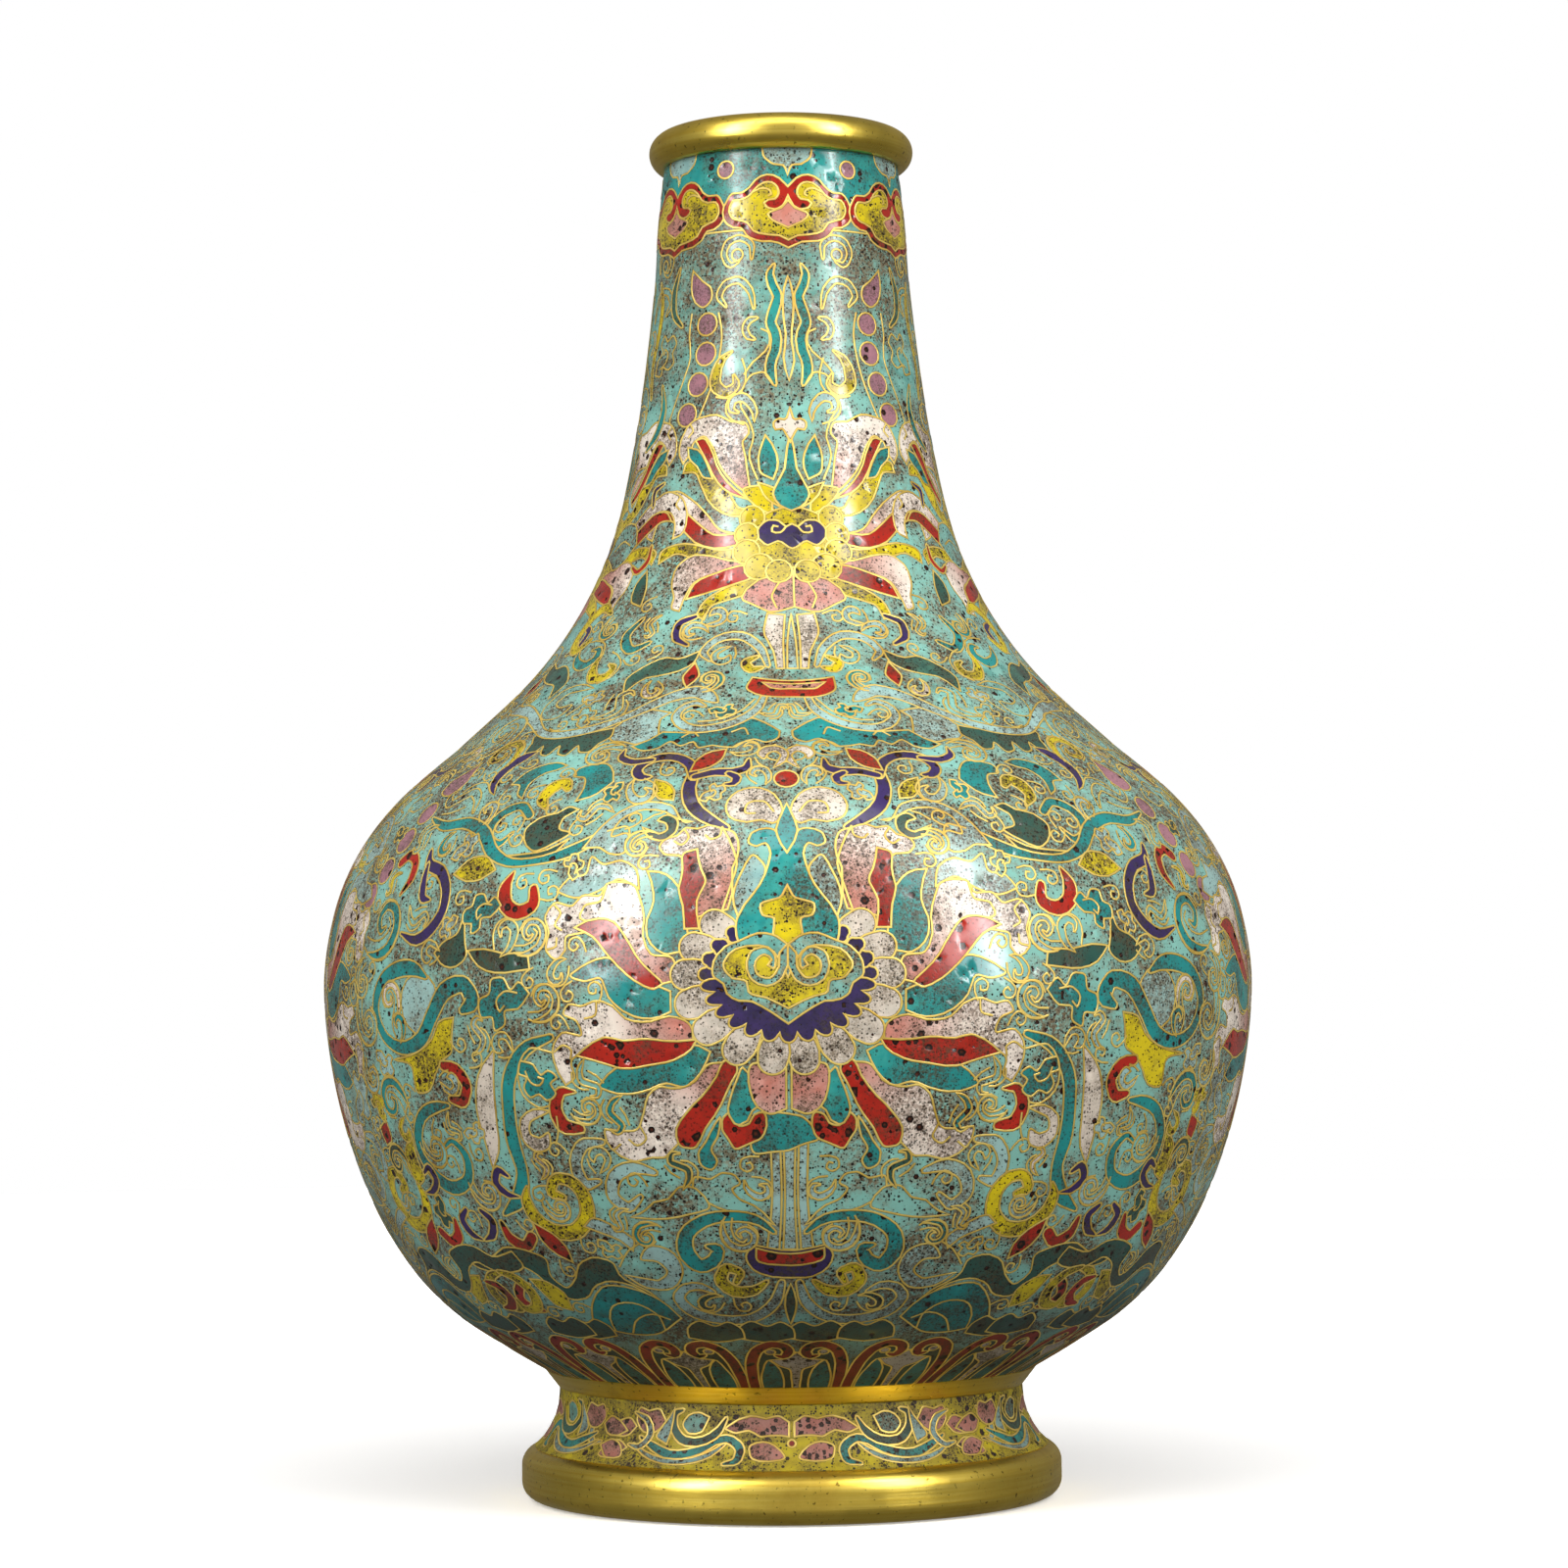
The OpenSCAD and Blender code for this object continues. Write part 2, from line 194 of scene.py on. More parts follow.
def mesh_object(name, verts, faces, material, flat=None):
    """Makes a mesh object. Faces marked in flat are shaded flat, the others smooth."""
    mesh = bpy.data.meshes.new(name)
    mesh.from_pydata(verts.tolist(), [], faces)
    mesh.update()
    mesh.polygons.foreach_set("use_smooth", np.ones(len(faces), bool) if flat is None else ~flat)
    mesh.set_sharp_from_angle(angle=SHARP_EDGE)
    mesh.materials.append(material)
    obj = bpy.data.objects.new(name, mesh)
    bpy.context.scene.collection.objects.link(obj)
    return obj


def point_values(obj, name, values):
    """Gives a value to each point of the mesh, for its material."""
    obj.data.attributes.new(name, "FLOAT", "POINT").data.foreach_set("value", values.astype(np.float32))


def finish_piece(obj, nodes=()):
    """Fixes the piece to the vase and hides the CAD nodes that it stands for."""
    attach(obj, "root")
    if nodes:
        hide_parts(*nodes)


class Sheet:
    """Half a turn of skin and what is drawn on it, like cut paper: a later shape covers an earlier one. The
    other half is the same, turned half a turn. It runs from w0 to w1, with mesh points at most gap mm apart
    and outlines drawn in steps of step mm. Each level has a name and the height w where it ends."""
    HALF = 90

    def __init__(self, name, skin, w0, w1, ground, gap, step, levels=(("", TOP),)):
        self.name, self.skin, self.w0, self.w1, self.ground = name, skin, w0, w1, ground
        self.gap, self.step = gap, step
        self.levels = [(level, low, high) for (level, high), low
                       in zip(levels, [-TOP] + [high for _, high in levels])]
        self.shapes, self.lines = [], []
        self.number = 0             # counts what is drawn, so that the later of two is known
        self.middle = 0             # the angle that mirror images are taken about
        self.at = np.zeros(2)       # where the origin of what is drawn next lies

    def spread(self, points, both):
        """The points where they are drawn, their mirror image, and what comes round from the other half."""
        first = points.copy()
        first[:, :2] += self.at
        found = [first]
        if both:
            image = first.copy()
            image[:, 0] = 2 * (self.middle + self.at[0]) - image[:, 0]
            found.append(image)
        for one in list(found):
            for turn, over in ((-180, one[:, 0].max() > self.HALF), (180, one[:, 0].min() < -self.HALF)):
                if over:
                    found.append(one + np.array([turn, 0, 0])[:one.shape[1]])
        return found

    def fine(self, points):
        """The step in degrees that is step mm where the points are."""
        return self.step / float(self.skin.mm(points[:, 1].mean() + self.at[1]))

    def put(self, enamel, ring, both, wired=True):
        """Lays a closed outline on the sheet, in that enamel, with or without a wire round it."""
        images = self.spread(ring, both)
        for k, image in enumerate(images):
            if image[:, 1].min() < self.w1 and image[:, 1].max() > self.w0:
                self.shapes.append((self.number + k % (2 if both else 1), enamel, image, wired))
        self.shapes.sort(key=lambda s: s[0])
        self.number += 2

    def cell(self, enamel, text, both=True, wired=True):
        """A closed curve through the points; with both, its mirror image too."""
        points, corner = read(text)
        self.put(enamel, curve(points, corner, True, self.fine(points)), both, wired)

    def stroke(self, enamel, text, both=True):
        """A curve with a width at each point."""
        points, corner = read(text)
        step = self.fine(points)
        self.put(enamel, ribbon(curve(points, corner, False, step), step), both)

    def bead(self, enamel, text, both=True):
        """Circles written "x,y,radius": x + r cos a, y + r sin a."""
        for x, y, r in read(text)[0]:
            a = np.radians(np.arange(0, 360, 24))[:, None]
            self.put(enamel, np.hstack([x + r * np.cos(a), y + r * np.sin(a)]), both)

    def line(self, text, both=True):
        """A wire that divides no colours."""
        points, corner = read(text)
        path = curve(points, corner, False, self.fine(points))
        for image in self.spread(path, both):
            self.lines.append((self.number, image))
        self.number += 2

    def labels(self, points):
        """For each point, the number of the wired shape on top and the enamel that shows."""
        cell = np.full(len(points), -1)
        enamel = np.full(len(points), ENAMELS.index(self.ground))
        for number, kind, ring, wired in self.shapes:
            near = np.nonzero(((points > ring.min(0)) & (points < ring.max(0))).all(1))[0]
            hit = near[winding(ring, points[near]) != 0]
            enamel[hit] = ENAMELS.index(kind)
            if wired:
                cell[hit] = number
        return cell, enamel

    def pits(self, rng, density):
        """Centres and radii of the small pits: many in the enamels that pit most, fewer in the others."""
        low, high = self.w0 + 0.5, self.w1 - 0.5
        w = rng.uniform(low, high, int(density * 2 * self.HALF * (high - low)))
        p = np.stack([rng.uniform(-self.HALF + 0.5, self.HALF - 0.5, len(w)), w], -1)
        mm = self.skin.mm(w)
        share = np.array([PITTING.get(e, 0.3) for e in ENAMELS])[self.labels(p)[1]]
        keep = rng.random(len(w)) < share * (mm / 1.48)**2
        size = rng.uniform(0.42, 0.95, keep.sum())**2 * (0.7 + 0.7 * np.minimum(share[keep], 1))
        return p[keep], size / mm[keep]

    def build(self, rng, density):
        """Triangulates the sheet with every outline as an edge."""
        rows, w = [], self.w0
        while w < self.w1 + 0.5:
            rows.append(min(w, self.w1))
            w += self.gap / float(self.skin.mm(min(w, self.w1)))
        rows[-1] = self.w1
        count = [math.ceil(2 * self.HALF * float(self.skin.mm(w)) / self.gap) + 1 for w in rows]
        fill = [np.linspace(-self.HALF, self.HALF, n) for n in count]
        grid = np.concatenate([np.stack([u, np.full(len(u), w)], -1) for u, w in zip(fill, rows)])
        centres, radii = self.pits(rng, density)
        turns = np.radians(np.arange(0, 360, 60))
        rings = (centres[:, None] + radii[:, None, None]
                 * np.stack([np.cos(turns), np.sin(turns)], -1)).reshape(-1, 2)
        verts = [centres, rings, grid]
        start = len(centres) + len(rings)
        stops = start + np.cumsum([0] + [len(u) for u in fill])
        border = (np.arange(stops[0], stops[1]), np.arange(stops[-2], stops[-1]), stops[:-1], stops[1:] - 1)
        edges = [np.stack([e[:-1], e[1:]], -1) for e in border]
        start += len(grid)
        for _, _, ring, _ in self.shapes:
            i = start + np.arange(len(ring))
            verts.append(ring)
            edges.append(np.stack([i, np.roll(i, -1)], -1))
            start += len(ring)
        drawn = sum(map(len, edges))
        rank = {}
        for number, path in self.lines:
            i = start + np.arange(len(path))
            verts.append(path[:, :2])
            for k in range(len(i) - 1):
                rank[drawn + k] = number
            edges.append(np.stack([i[:-1], i[1:]], -1))
            drawn += len(i) - 1
            start += len(path)
        points = [Vector(p) for p in np.concatenate(verts)[:, :2].tolist()]
        v, e, f, ov, oe, _ = delaunay_2d_cdt(points, np.concatenate(edges).tolist(), [], 0, 1e-4, True)
        v, f = np.array([tuple(p) for p in v]), np.array(f)
        middle = v[f].mean(1)
        f = f[(np.abs(middle[:, 0]) < self.HALF) & (middle[:, 1] > self.w0) & (middle[:, 1] < self.w1)]
        cell, enamel = self.labels(v[f].mean(1))
        sink = np.array([1.0 if o and min(o) < len(centres) else 0.0 for o in ov])
        sides = np.sort(np.concatenate([f[:, [0, 1]], f[:, [1, 2]], f[:, [2, 0]]]), 1)
        owner = np.tile(np.arange(len(f)), 3)
        key = sides[:, 0] * len(v) + sides[:, 1]
        order = np.argsort(key, kind="stable")
        key, owner, sides = key[order], owner[order], sides[order]
        pair = np.nonzero(key[:-1] == key[1:])[0]
        one, two, shared = cell[owner[pair]], cell[owner[pair + 1]], sides[pair]
        drawn_line = {}
        for (a, b), origins in zip(e, oe):
            top = max((rank[o] for o in origins if o in rank), default=-1)
            if top >= 0:
                drawn_line[min(a, b) * len(v) + max(a, b)] = top
        tops = np.array([drawn_line.get(k, -1) for k in key[pair].tolist()])
        wires = shared[(one != two) | ((tops > one) & (tops > two))]
        self.v, self.f, self.enamel, self.sink = v, f, enamel, sink
        self.paths = [v[p] for p in chains(wires)]

    def slabs(self, near, far, replaced):
        """One piece for each enamel, and of the ground one for each level: the triangles of its cells on the
        skin, the same on the copper, and a wall round every cell; both halves of the vase."""
        height = self.v[self.f][:, :, 1].mean(1)
        pieces = []
        for code in sorted(set(self.enamel.tolist())):
            kind, mine = ENAMELS[code], self.enamel == code
            if kind != self.ground:
                pieces.append((kind, "", mine))
                continue
            for level, low, high in self.levels:
                pieces.append((kind, level, mine & (height >= low) & (height < high)))
        for kind, level, mine in pieces:
            used, f = np.unique(self.f[mine], return_inverse=True)
            f = f.reshape(-1, 3)
            u, w = self.v[used].T
            n = len(used)
            a, b = np.concatenate([f[:, [0, 1]], f[:, [1, 2]], f[:, [2, 0]]]).T
            edge = ~np.isin(b * n + a, a * n + b)
            a, b = a[edge], b[edge]
            sink = self.sink[used]
            top, low = self.skin.lift(u, w, near + PIT * sink), self.skin.lift(u, w, far)
            half = np.concatenate([top, low])
            tris = np.concatenate([f, f[:, ::-1] + n]).tolist()
            faces = tris + np.stack([a + n, b + n, b, a], -1).tolist()
            both = faces + (2 * n + np.array(tris)).tolist() + (2 * n + np.array(faces[len(tris):])).tolist()
            flat = np.tile(np.arange(len(faces)) >= len(f), 2)
            name = "_".join(filter(None, (self.name, level, kind)))
            obj = mesh_object(name, np.concatenate([half, half * (-1, -1, 1)]), both, ENAMEL[kind], flat)
            point_values(obj, "grime", np.tile(np.concatenate([sink, 0 * sink]), 2))
            pale = PALE.get(self.name, lambda u, w: np.zeros(len(u)))(u, w)
            point_values(obj, "pale", np.tile(np.concatenate([pale, pale]), 2))
            finish_piece(obj, replaced.get(level or kind, ()))

    def cloisons(self, width, replaced):
        """The wires, level by level, front and back: a low bevelled section carried along every path. Its
        foot is painted dark, as shade and dirt in the gap beside the wire, and its crest is bright."""
        for level, low, high in self.levels:
            verts, faces = self.swept([p for p in self.paths if low <= p[:, 1].mean() < high], width)
            for side, turn in (("front", 1), ("back", -1)):
                name = "_".join(filter(None, (self.name, level, "wires", side)))
                obj = mesh_object(name, verts * (turn, turn, 1), faces, GILT["wire"])
                obj.data.polygons.foreach_set("use_smooth", np.zeros(len(faces), bool))
                point_values(obj, "crest", np.tile([0.0, 1, 1, 0, 0], len(verts) // 5))
                finish_piece(obj, replaced.get(level, ()))

    def swept(self, paths, width):
        """Points and faces of the bevelled section along the paths, a ring of five points at each point."""
        across = np.array([-0.5 - SEAT, -CREST, CREST, 0.5 + SEAT, 0]) * width
        depth = np.array([0.0, -WIRE_UP, -WIRE_UP, 0.0, WIRE_ROOT])
        verts, faces, start = [], [], 0
        for path in paths:
            path = thin(path, self.skin)
            if len(path) < 2:
                continue
            closed = np.allclose(path[0], path[-1]) and len(path) > 3
            if closed:
                path = path[:-1]
            run = np.diff(path, axis=0, append=path[:1]) if closed else np.diff(path, axis=0)
            run /= np.maximum(np.hypot(run[:, 0], run[:, 1]), 1e-9)[:, None]
            a, b = (np.roll(run, 1, 0), run) if closed else (np.vstack([run[:1], run]),
                                                             np.vstack([run, run[-1:]]))
            mean = a + b
            size = np.maximum(np.hypot(mean[:, 0], mean[:, 1]), MITRE)[:, None]
            side = np.stack([-mean[:, 1], mean[:, 0]], -1) / size * (2 / size)
            mm = self.skin.mm(path[:, 1])[:, None]
            u = path[:, :1] + side[:, :1] * across / mm
            w = path[:, 1:] + side[:, 1:] * across / mm
            n = len(path)
            verts.append(self.skin.lift(u, w, np.broadcast_to(depth, u.shape)).reshape(-1, 3))
            i = start + 5 * np.arange(n if closed else n - 1)[:, None]
            j = start + 5 * ((np.arange(n if closed else n - 1) + 1) % n)[:, None]
            c, d = np.arange(5), (np.arange(5) + 1) % 5
            faces += np.stack([i + c, j + c, j + d, i + d], -1).reshape(-1, 4).tolist()
            if not closed:
                faces += [[start + k for k in range(5)], [start + 5 * (n - 1) + k for k in (0, 4, 3, 2, 1)]]
            start += 5 * n
        return np.concatenate(verts), faces


def thin(path, skin):
    """Drops points of a path until it turns 13 degrees or runs 2.2 mm from one to the next."""
    bend, longest, shortest = 13, 2.2, 0.25
    mm = float(skin.mm(path[:, 1].mean()))
    kept, turned, run = [0], 0.0, 0.0
    step = np.diff(path, axis=0)
    heading = np.degrees(np.unwrap(np.arctan2(step[:, 1], step[:, 0])))
    length = np.hypot(step[:, 0], step[:, 1]) * mm
    for i in range(1, len(path) - 1):
        turned += heading[i] - heading[i - 1]
        run += length[i - 1]
        if run > shortest and (abs(turned) > bend or run + length[i] > longest):
            kept.append(i)
            turned, run = 0.0, 0.0
    return path[kept + [len(path) - 1]]


# ---- Finishes ----

class Graph:
    """A new material and a short way to add nodes to it: inputs that are sockets are linked."""

    def __init__(self, name):
        self.material = bpy.data.materials.new(name)
        self.material.use_nodes = True
        self.tree = self.material.node_tree
        self.tree.nodes.clear()

    def add(self, kind, inputs=(), out=0, **settings):
        node = self.tree.nodes.new("ShaderNode" + kind)
        for key, value in settings.items():
            setattr(node, key, value)
        for key, value in dict(inputs).items():
            if isinstance(value, bpy.types.NodeSocket):
                self.tree.links.new(value, node.inputs[key])
            else:
                node.inputs[key].default_value = value
        return node.outputs[out] if len(node.outputs) else None

    def place(self):
        """Where a point lies on the object, in metres."""
        return self.add("TexCoord", out="Object")

    def noise(self, scale, detail=2.0, at=None, rough=0.5):
        """Cloudy noise, about scale patches in a metre."""
        return self.add("TexNoise", {"Vector": at or self.place(), "Scale": scale, "Detail": detail,
                                     "Roughness": rough})

    def band(self, value, low, high, top=1.0):
        """0 up to low, top from high on, straight between."""
        return self.add("MapRange", {"Value": value, "From Min": low, "From Max": high, "To Max": top})

    def mix(self, share, a, b):
        """The colour a turned to b by that share."""
        node = self.tree.nodes.new("ShaderNodeMix")
        node.data_type = "RGBA"
        for key, value in ((0, share), (6, a), (7, b)):
            if isinstance(value, bpy.types.NodeSocket):
                self.tree.links.new(value, node.inputs[key])
            else:
                node.inputs[key].default_value = value
        return node.outputs[2]

    def dots(self, scale, size, share, at):
        """Round dots of differing size in a random share of the cells of a Voronoi pattern."""
        far = self.add("TexVoronoi", {"Vector": at, "Scale": scale})
        chance = self.add("SeparateColor", {"Color": far.node.outputs["Color"]})
        chosen = self.maths("GREATER_THAN", self.maths("ADD", chance, share), 1.0)
        edge = self.maths("MULTIPLY", self.maths("ADD", chance.node.outputs[1], 0.5), size)
        dot = self.band(self.maths("SUBTRACT", edge, far), 0.0, 0.1)
        return self.maths("MULTIPLY", dot, chosen)

    def maths(self, what, a, b=0.0):
        return self.add("Math", {0: a, 1: b}, operation=what)

    def given(self, name):
        """A value that the mesh holds for each point."""
        return self.add("Attribute", out="Fac", attribute_name=name)

    def finish(self, **inputs):
        """Closes the material: inputs of its surface shader, such as base_color or ior."""
        shader = self.add("BsdfPrincipled", {k.replace("_", " ").title().replace("Ior", "IOR"): v
                                             for k, v in inputs.items()})
        self.add("OutputMaterial", {"Surface": shader})
        return self.material


def colour(text):
    """Linear colour from an sRGB hex triple."""
    c = np.array([int(text[i:i + 2], 16) / 255 for i in (0, 2, 4)])
    return tuple(np.where(c < 0.04045, c / 12.92, ((c + 0.055) / 1.055)**2.4)) + (1.0,)


# Each enamel: its clean colour, a second tone, the stain of its worn patches and how strong that is, how
# much it is speckled, and the colour that its pale tips run to.
RECIPES = {
    "turquoise": ("7cb3a8", "59938a", "7d6d54", 1.0, 1.0, "7cb3a8"),
    "teal": ("1f8584", "35948c", "3a564a", 0.6, 0.7, "1f8584"),
    "green": ("2c5249", "3f6b5c", "454836", 0.7, 0.8, "2c5249"),
    "pale_blue": ("94b8b4", "7ca3a2", "827b66", 0.75, 0.9, "94b8b4"),
    "white": ("d3c8ba", "bdb5a8", "8d7d6a", 0.65, 0.85, "d3c8ba"),
    "pink": ("b97567", "bd877b", "8a6455", 0.55, 0.85, "e6dccf"),
    "red": ("a52519", "8f1c14", "6b1c14", 0.4, 0.55, "a52519"),
    "yellow": ("cdb917", "b3a024", "6f5c26", 0.7, 1.0, "cdb917"),
    "cobalt": ("37295a", "2b2348", "24203a", 0.5, 0.4, "37295a"),
    "lavender": ("a0717c", "8d6670", "6f5560", 0.4, 0.4, "a0717c"),
}
ENAMELS = list(RECIPES)
# How much each enamel is pitted.
PITTING = {"red": 1.0, "pink": 0.6, "cobalt": 0.4, "teal": 0.4, "green": 0.35, "turquoise": 0.2,
           "yellow": 0.4, "white": 0.3, "lavender": 0.3, "pale_blue": 0.12}
PIT = 0.28          # depth of a pit in mm
WIRE_WIDTH = 0.27   # in mm
SEAT = 0.3          # how far a wire's dark foot reaches beside it, in wire widths: painted shade and dirt in the gap
CREST = 0.34        # half of a wire's flat top, in wire widths
WIRE_UP = 0.04      # how far a wire stands out of the enamel, in mm
WIRE_ROOT = 0.4     # how deep its root lies, in mm
MITRE = 0.9         # the least length of two unit steps added, which keeps a mitre short at a sharp turn


def enamel_finish(kind):
    """Glassy enamel: two tones in cloudy patches, worn and stained areas full of dark specks, pits that
    hold dirt, and a polished skin that the specks break up."""
    main, second, stain, worn, specked, tip = RECIPES[kind]
    g = Graph(kind + "_enamel")
    at = g.place()
    clouds = g.noise(420, 3.0, at)
    patches = g.noise(95, 8.0, at, 0.68)
    fine = g.noise(1500, 3.0, at, 0.65)
    grains = g.noise(3400, 1.0, at)
    wear = g.band(patches, 0.40, 0.56)
    tone = g.mix(g.band(clouds, 0.38, 0.62), colour(main), colour(second))
    tone = g.mix(g.given("pale"), tone, colour(tip))
    stained = g.maths("MULTIPLY", g.maths("MULTIPLY", wear, worn), g.band(fine, 0.34, 0.56))
    tone = g.mix(stained, tone, colour(stain))
    share = g.maths("ADD", g.maths("MULTIPLY", wear, 0.7), 0.22)
    dots = g.maths("MAXIMUM", g.dots(1100, 0.25, share, at), g.dots(2300, 0.37, share, at))
    specks = g.maths("MULTIPLY", dots, specked)
    grit = g.maths("MULTIPLY", g.band(grains, 0.5, 0.7), g.maths("MULTIPLY", wear, 0.75))
    tone = g.mix(grit, tone, colour("352d1d"))
    deep = g.maths("MULTIPLY", g.band(patches, 0.5, 0.62, 0.75), g.band(fine, 0.4, 0.6))
    tone = g.mix(deep, tone, colour("4a3f2c"))
    tone = g.mix(specks, tone, colour("1f170e"))
    tone = g.mix(g.band(g.given("grime"), 0.08, 0.2), tone, colour("1c0f0a"))
    tone = g.mix(g.band(g.given("grime"), 0.55, 0.9, 0.5), tone, colour("6b3320"))
    # Darker and duller towards the waist: the darkening is painted shade under the belly, reaching down onto
    # the foot; low is the height in metres.
    low = g.add("SeparateXYZ", {0: at}, out=2)
    shade = g.maths("SUBTRACT", g.band(low, 0.05, 0.028, 0.42), g.band(low, 0.023, 0.021, 0.17))
    # painted shade: the tone turns towards near black low on the vase
    tone = g.mix(shade, tone, colour("16120b"))
    swell = g.maths("MULTIPLY", g.noise(300, 2.0, at), 0.25)
    relief = g.maths("SUBTRACT", swell, g.maths("MULTIPLY", specks, 0.5))
    bump = g.add("Bump", {"Height": relief, "Strength": 0.3, "Distance": 0.0001})
    dull = g.maths("ADD", g.band(low, 0.042, 0.03, 0.4), 0.14)
    rough = g.maths("ADD", g.maths("MULTIPLY", wear, 0.12), dull)
    return g.finish(base_color=tone, roughness=rough, normal=bump, ior=1.52)


def gilt_finish(kind):
    """Fire-gilt bronze: warm gold, brushed round the ring, rubbed darker in blotches and specks."""
    g = Graph(kind)
    at = g.place()
    streaks = g.noise(30, 4.0, g.add("VectorMath", {0: at, 1: (1.0, 1.0, 60.0)}, operation="MULTIPLY"), 0.6)
    blotches = g.noise(70, 6.0, at, 0.6)
    tone = g.mix(g.band(streaks, 0.35, 0.65), colour("f8dd68"), colour("ebca50"))
    tone = g.mix(g.band(blotches, 0.54, 0.74, 0.5), tone, colour("a5812f"))
    tone = g.mix(g.band(g.noise(1100, 3.0, at), 0.64, 0.72, 0.75), tone, colour("4a3212"))
    bump = g.add("Bump", {"Height": g.maths("ADD", streaks, g.noise(500, 3.0, at)), "Strength": 0.25,
                          "Distance": 0.0001})
    rough = g.maths("ADD", g.band(blotches, 0.3, 0.8, 0.25), 0.24)
    return g.finish(base_color=tone, metallic=1.0, roughness=rough, normal=bump)


def wire_finish():
    """Gilt wire: bright where polishing reaches it, painted dark where it meets the enamel, as shade and dirt
    in the gap.
    """
    g = Graph("gilt_wire")
    tone = g.mix(g.band(g.noise(160, 3.0), 0.4, 0.7), colour("e6cb6c"), colour("c3a042"))
    # Where crest is low the wire turns near black: painted shade and dirt beside the wire.
    tone = g.mix(g.band(g.given("crest"), 0.2, 0.6), colour("2b2414"), tone)
    return g.finish(base_color=tone, metallic=0.45, roughness=0.4)


def plain_finish(name, main, second, scale, **more):
    """Two tones in cloudy patches."""
    g = Graph(name)
    tone = g.mix(g.band(g.noise(scale, 5.0), 0.4, 0.65), colour(main), colour(second))
    return g.finish(base_color=tone, **more)


ENAMEL = {kind: enamel_finish(kind) for kind in ENAMELS}
GILT = {"wire": wire_finish(), "ring": gilt_finish("gilt_bronze")}
COPPER = plain_finish("copper_sheet", "a8623c", "7c4a30", 90, metallic=1.0, roughness=0.45)
COUNTER = plain_finish("counter_enamel", "4f9b93", "3d7f7c", 120, roughness=0.35)


# ---- The pattern ----

def belly_lotus(s):
    """The large flower: stems and buds behind, six pairs of petals in three colours, cobalt collar, heart."""
    # lower clouds and the leaf fan behind the petals
    s.cell("teal", "-3.5,-15.5 -1.5,-15 0,-15.2 1.6,-15.6 2.6,-16.6 3.4,-18.2 1.5,-18.9 0,-19.6 -2,-19.8 "
                   "-4,-20",
           both=False)
    s.cell("red", "3,-15 4,-15.3 4.6,-16.3 5.8,-16.6 6.8,-15 7.6,-15.6 7.8,-17 7,-18.4 6.4,-19.4 5,-18.9 "
                  "3.2,-18 2.6,-16.6")
    s.cell("teal", "8,-15.6 9,-17 9.8,-18.5 10.8,-20 10.5,-21.5 9.3,-22 8.6,-21 9.2,-19.5 8.4,-18")
    s.cell("teal", "5.2,-9.8 5.8,-11 6.6,-13 7,-15 6,-16.5 4.8,-16 4.2,-14.8 3.2,-14 3.6,-12 4.6,-10.4")
    s.cell("pink", "0.3,-9.5! 4.3,-9.6 4.4,-12.5 3.6,-14.4 2.2,-15.2 0.3,-14.6!")
    # fourth pair
    s.cell("pink", "7.2,-9.2! 9,-9.4 11,-11.6 13,-12.2 15,-12 16.3,-13 17,-15 18,-17 20.5,-17.2 22,-17 "
                   "22,-18.5 20.5,-20.3 18.5,-21 16.5,-20.5 15,-20.5 13.8,-19.4 12.4,-18 10.8,-15.4 8.8,-13 "
                   "7.2,-10.4")
    s.cell("red", "6,-9! 7.2,-9 8.2,-10.8 9.7,-12.8 11.7,-14.8 13.3,-17.4 12.9,-19 11.3,-19.3 9.8,-17 "
                  "8,-14.5 6.8,-12 5.8,-10")
    # third pair
    s.cell("teal", "8.8,-8! 10.5,-7.2 13,-8.2 16,-8.8 18.5,-9.2 20.6,-10.2 22.4,-12! 20,-12.8 17,-12.6 "
                   "14,-11.6 12,-12 10,-10.4")
    s.cell("pink", "11,-5 13,-4 16,-4.6 18.5,-4.2 20,-2.8 22,-2.2 24,-2.8 25.5,-2.6 26.2,-3.6 24.5,-4.5 "
                   "24,-6 26.5,-5.8 27.8,-7.5 27.5,-10 26.5,-11.8! 25.3,-11 25.5,-9 24.5,-8.2 22.5,-7.9 "
                   "19,-7.9 14,-8 11,-7.4")
    s.cell("red", "10.3,-6.6! 13,-6.8 16.5,-6.5 19,-6.7 21,-6.3 22.7,-6.9 24.8,-8.4! 22,-9.1 19,-9.9 16,-9.5 "
                  "13,-8.9 11,-7.7")
    # second pair
    s.cell("teal", "13.2,-1.2! 15.6,-.2 18.2,1.2 20.6,2.6 23.5,1.8 25.2,.6 23.5,0 21.5,.3 20.5,-1.8 18,-3.8 "
                   "15,-4.2 13.2,-3.5!")
    s.cell("pink", "12.5,0! 13,2.5 15.5,3 16.5,5 16.5,7.5 17,9 18,11 20,11.5 21.5,11.2 22,10 24.5,9.8 "
                   "25.5,8.7 28,9 29,7.5 28.3,5.5 28.5,3.5 27,2.5 26,3.5 26,5 24.5,5.4 21.5,5.4 19.3,3.6 "
                   "17.6,1.6 15,-.4")
    s.cell("red", "14,-.3! 17,2.5 18.5,4.8 20.5,6.9 23,7 25,6.1! 22.6,5 21,3.3 19,1.3 17,-.2 15,-.9")
    # first pair
    s.cell("teal", "11,3.5! 11.4,6 11.8,9 12.8,11 14.6,12.5 16.6,12.8! 15.8,11 15.5,9 16.2,6.5 15.8,4.5 14,3")
    s.cell("pink", "6.8,8! 6.3,10 6.4,13 5.8,15 6.6,18 8,18.5 9.8,19 11,18.5 12.5,18.7 13.5,17.5 15,17 "
                   "15.5,16 14.8,15 13,14.8 11.6,13.4 11.3,11.5 11.2,9.5 10.8,7!")
    s.cell("red", "10.8,15.6! 12.4,15 12.3,12.5 12.6,10.5 12,8.5 11.7,5.8! 10,5.8! 10.4,9 9.5,11.5 10.3,13.4")
    s.line("7.6,7.2 6.5,11 5.9,13.5 6.6,16 8,18.8")
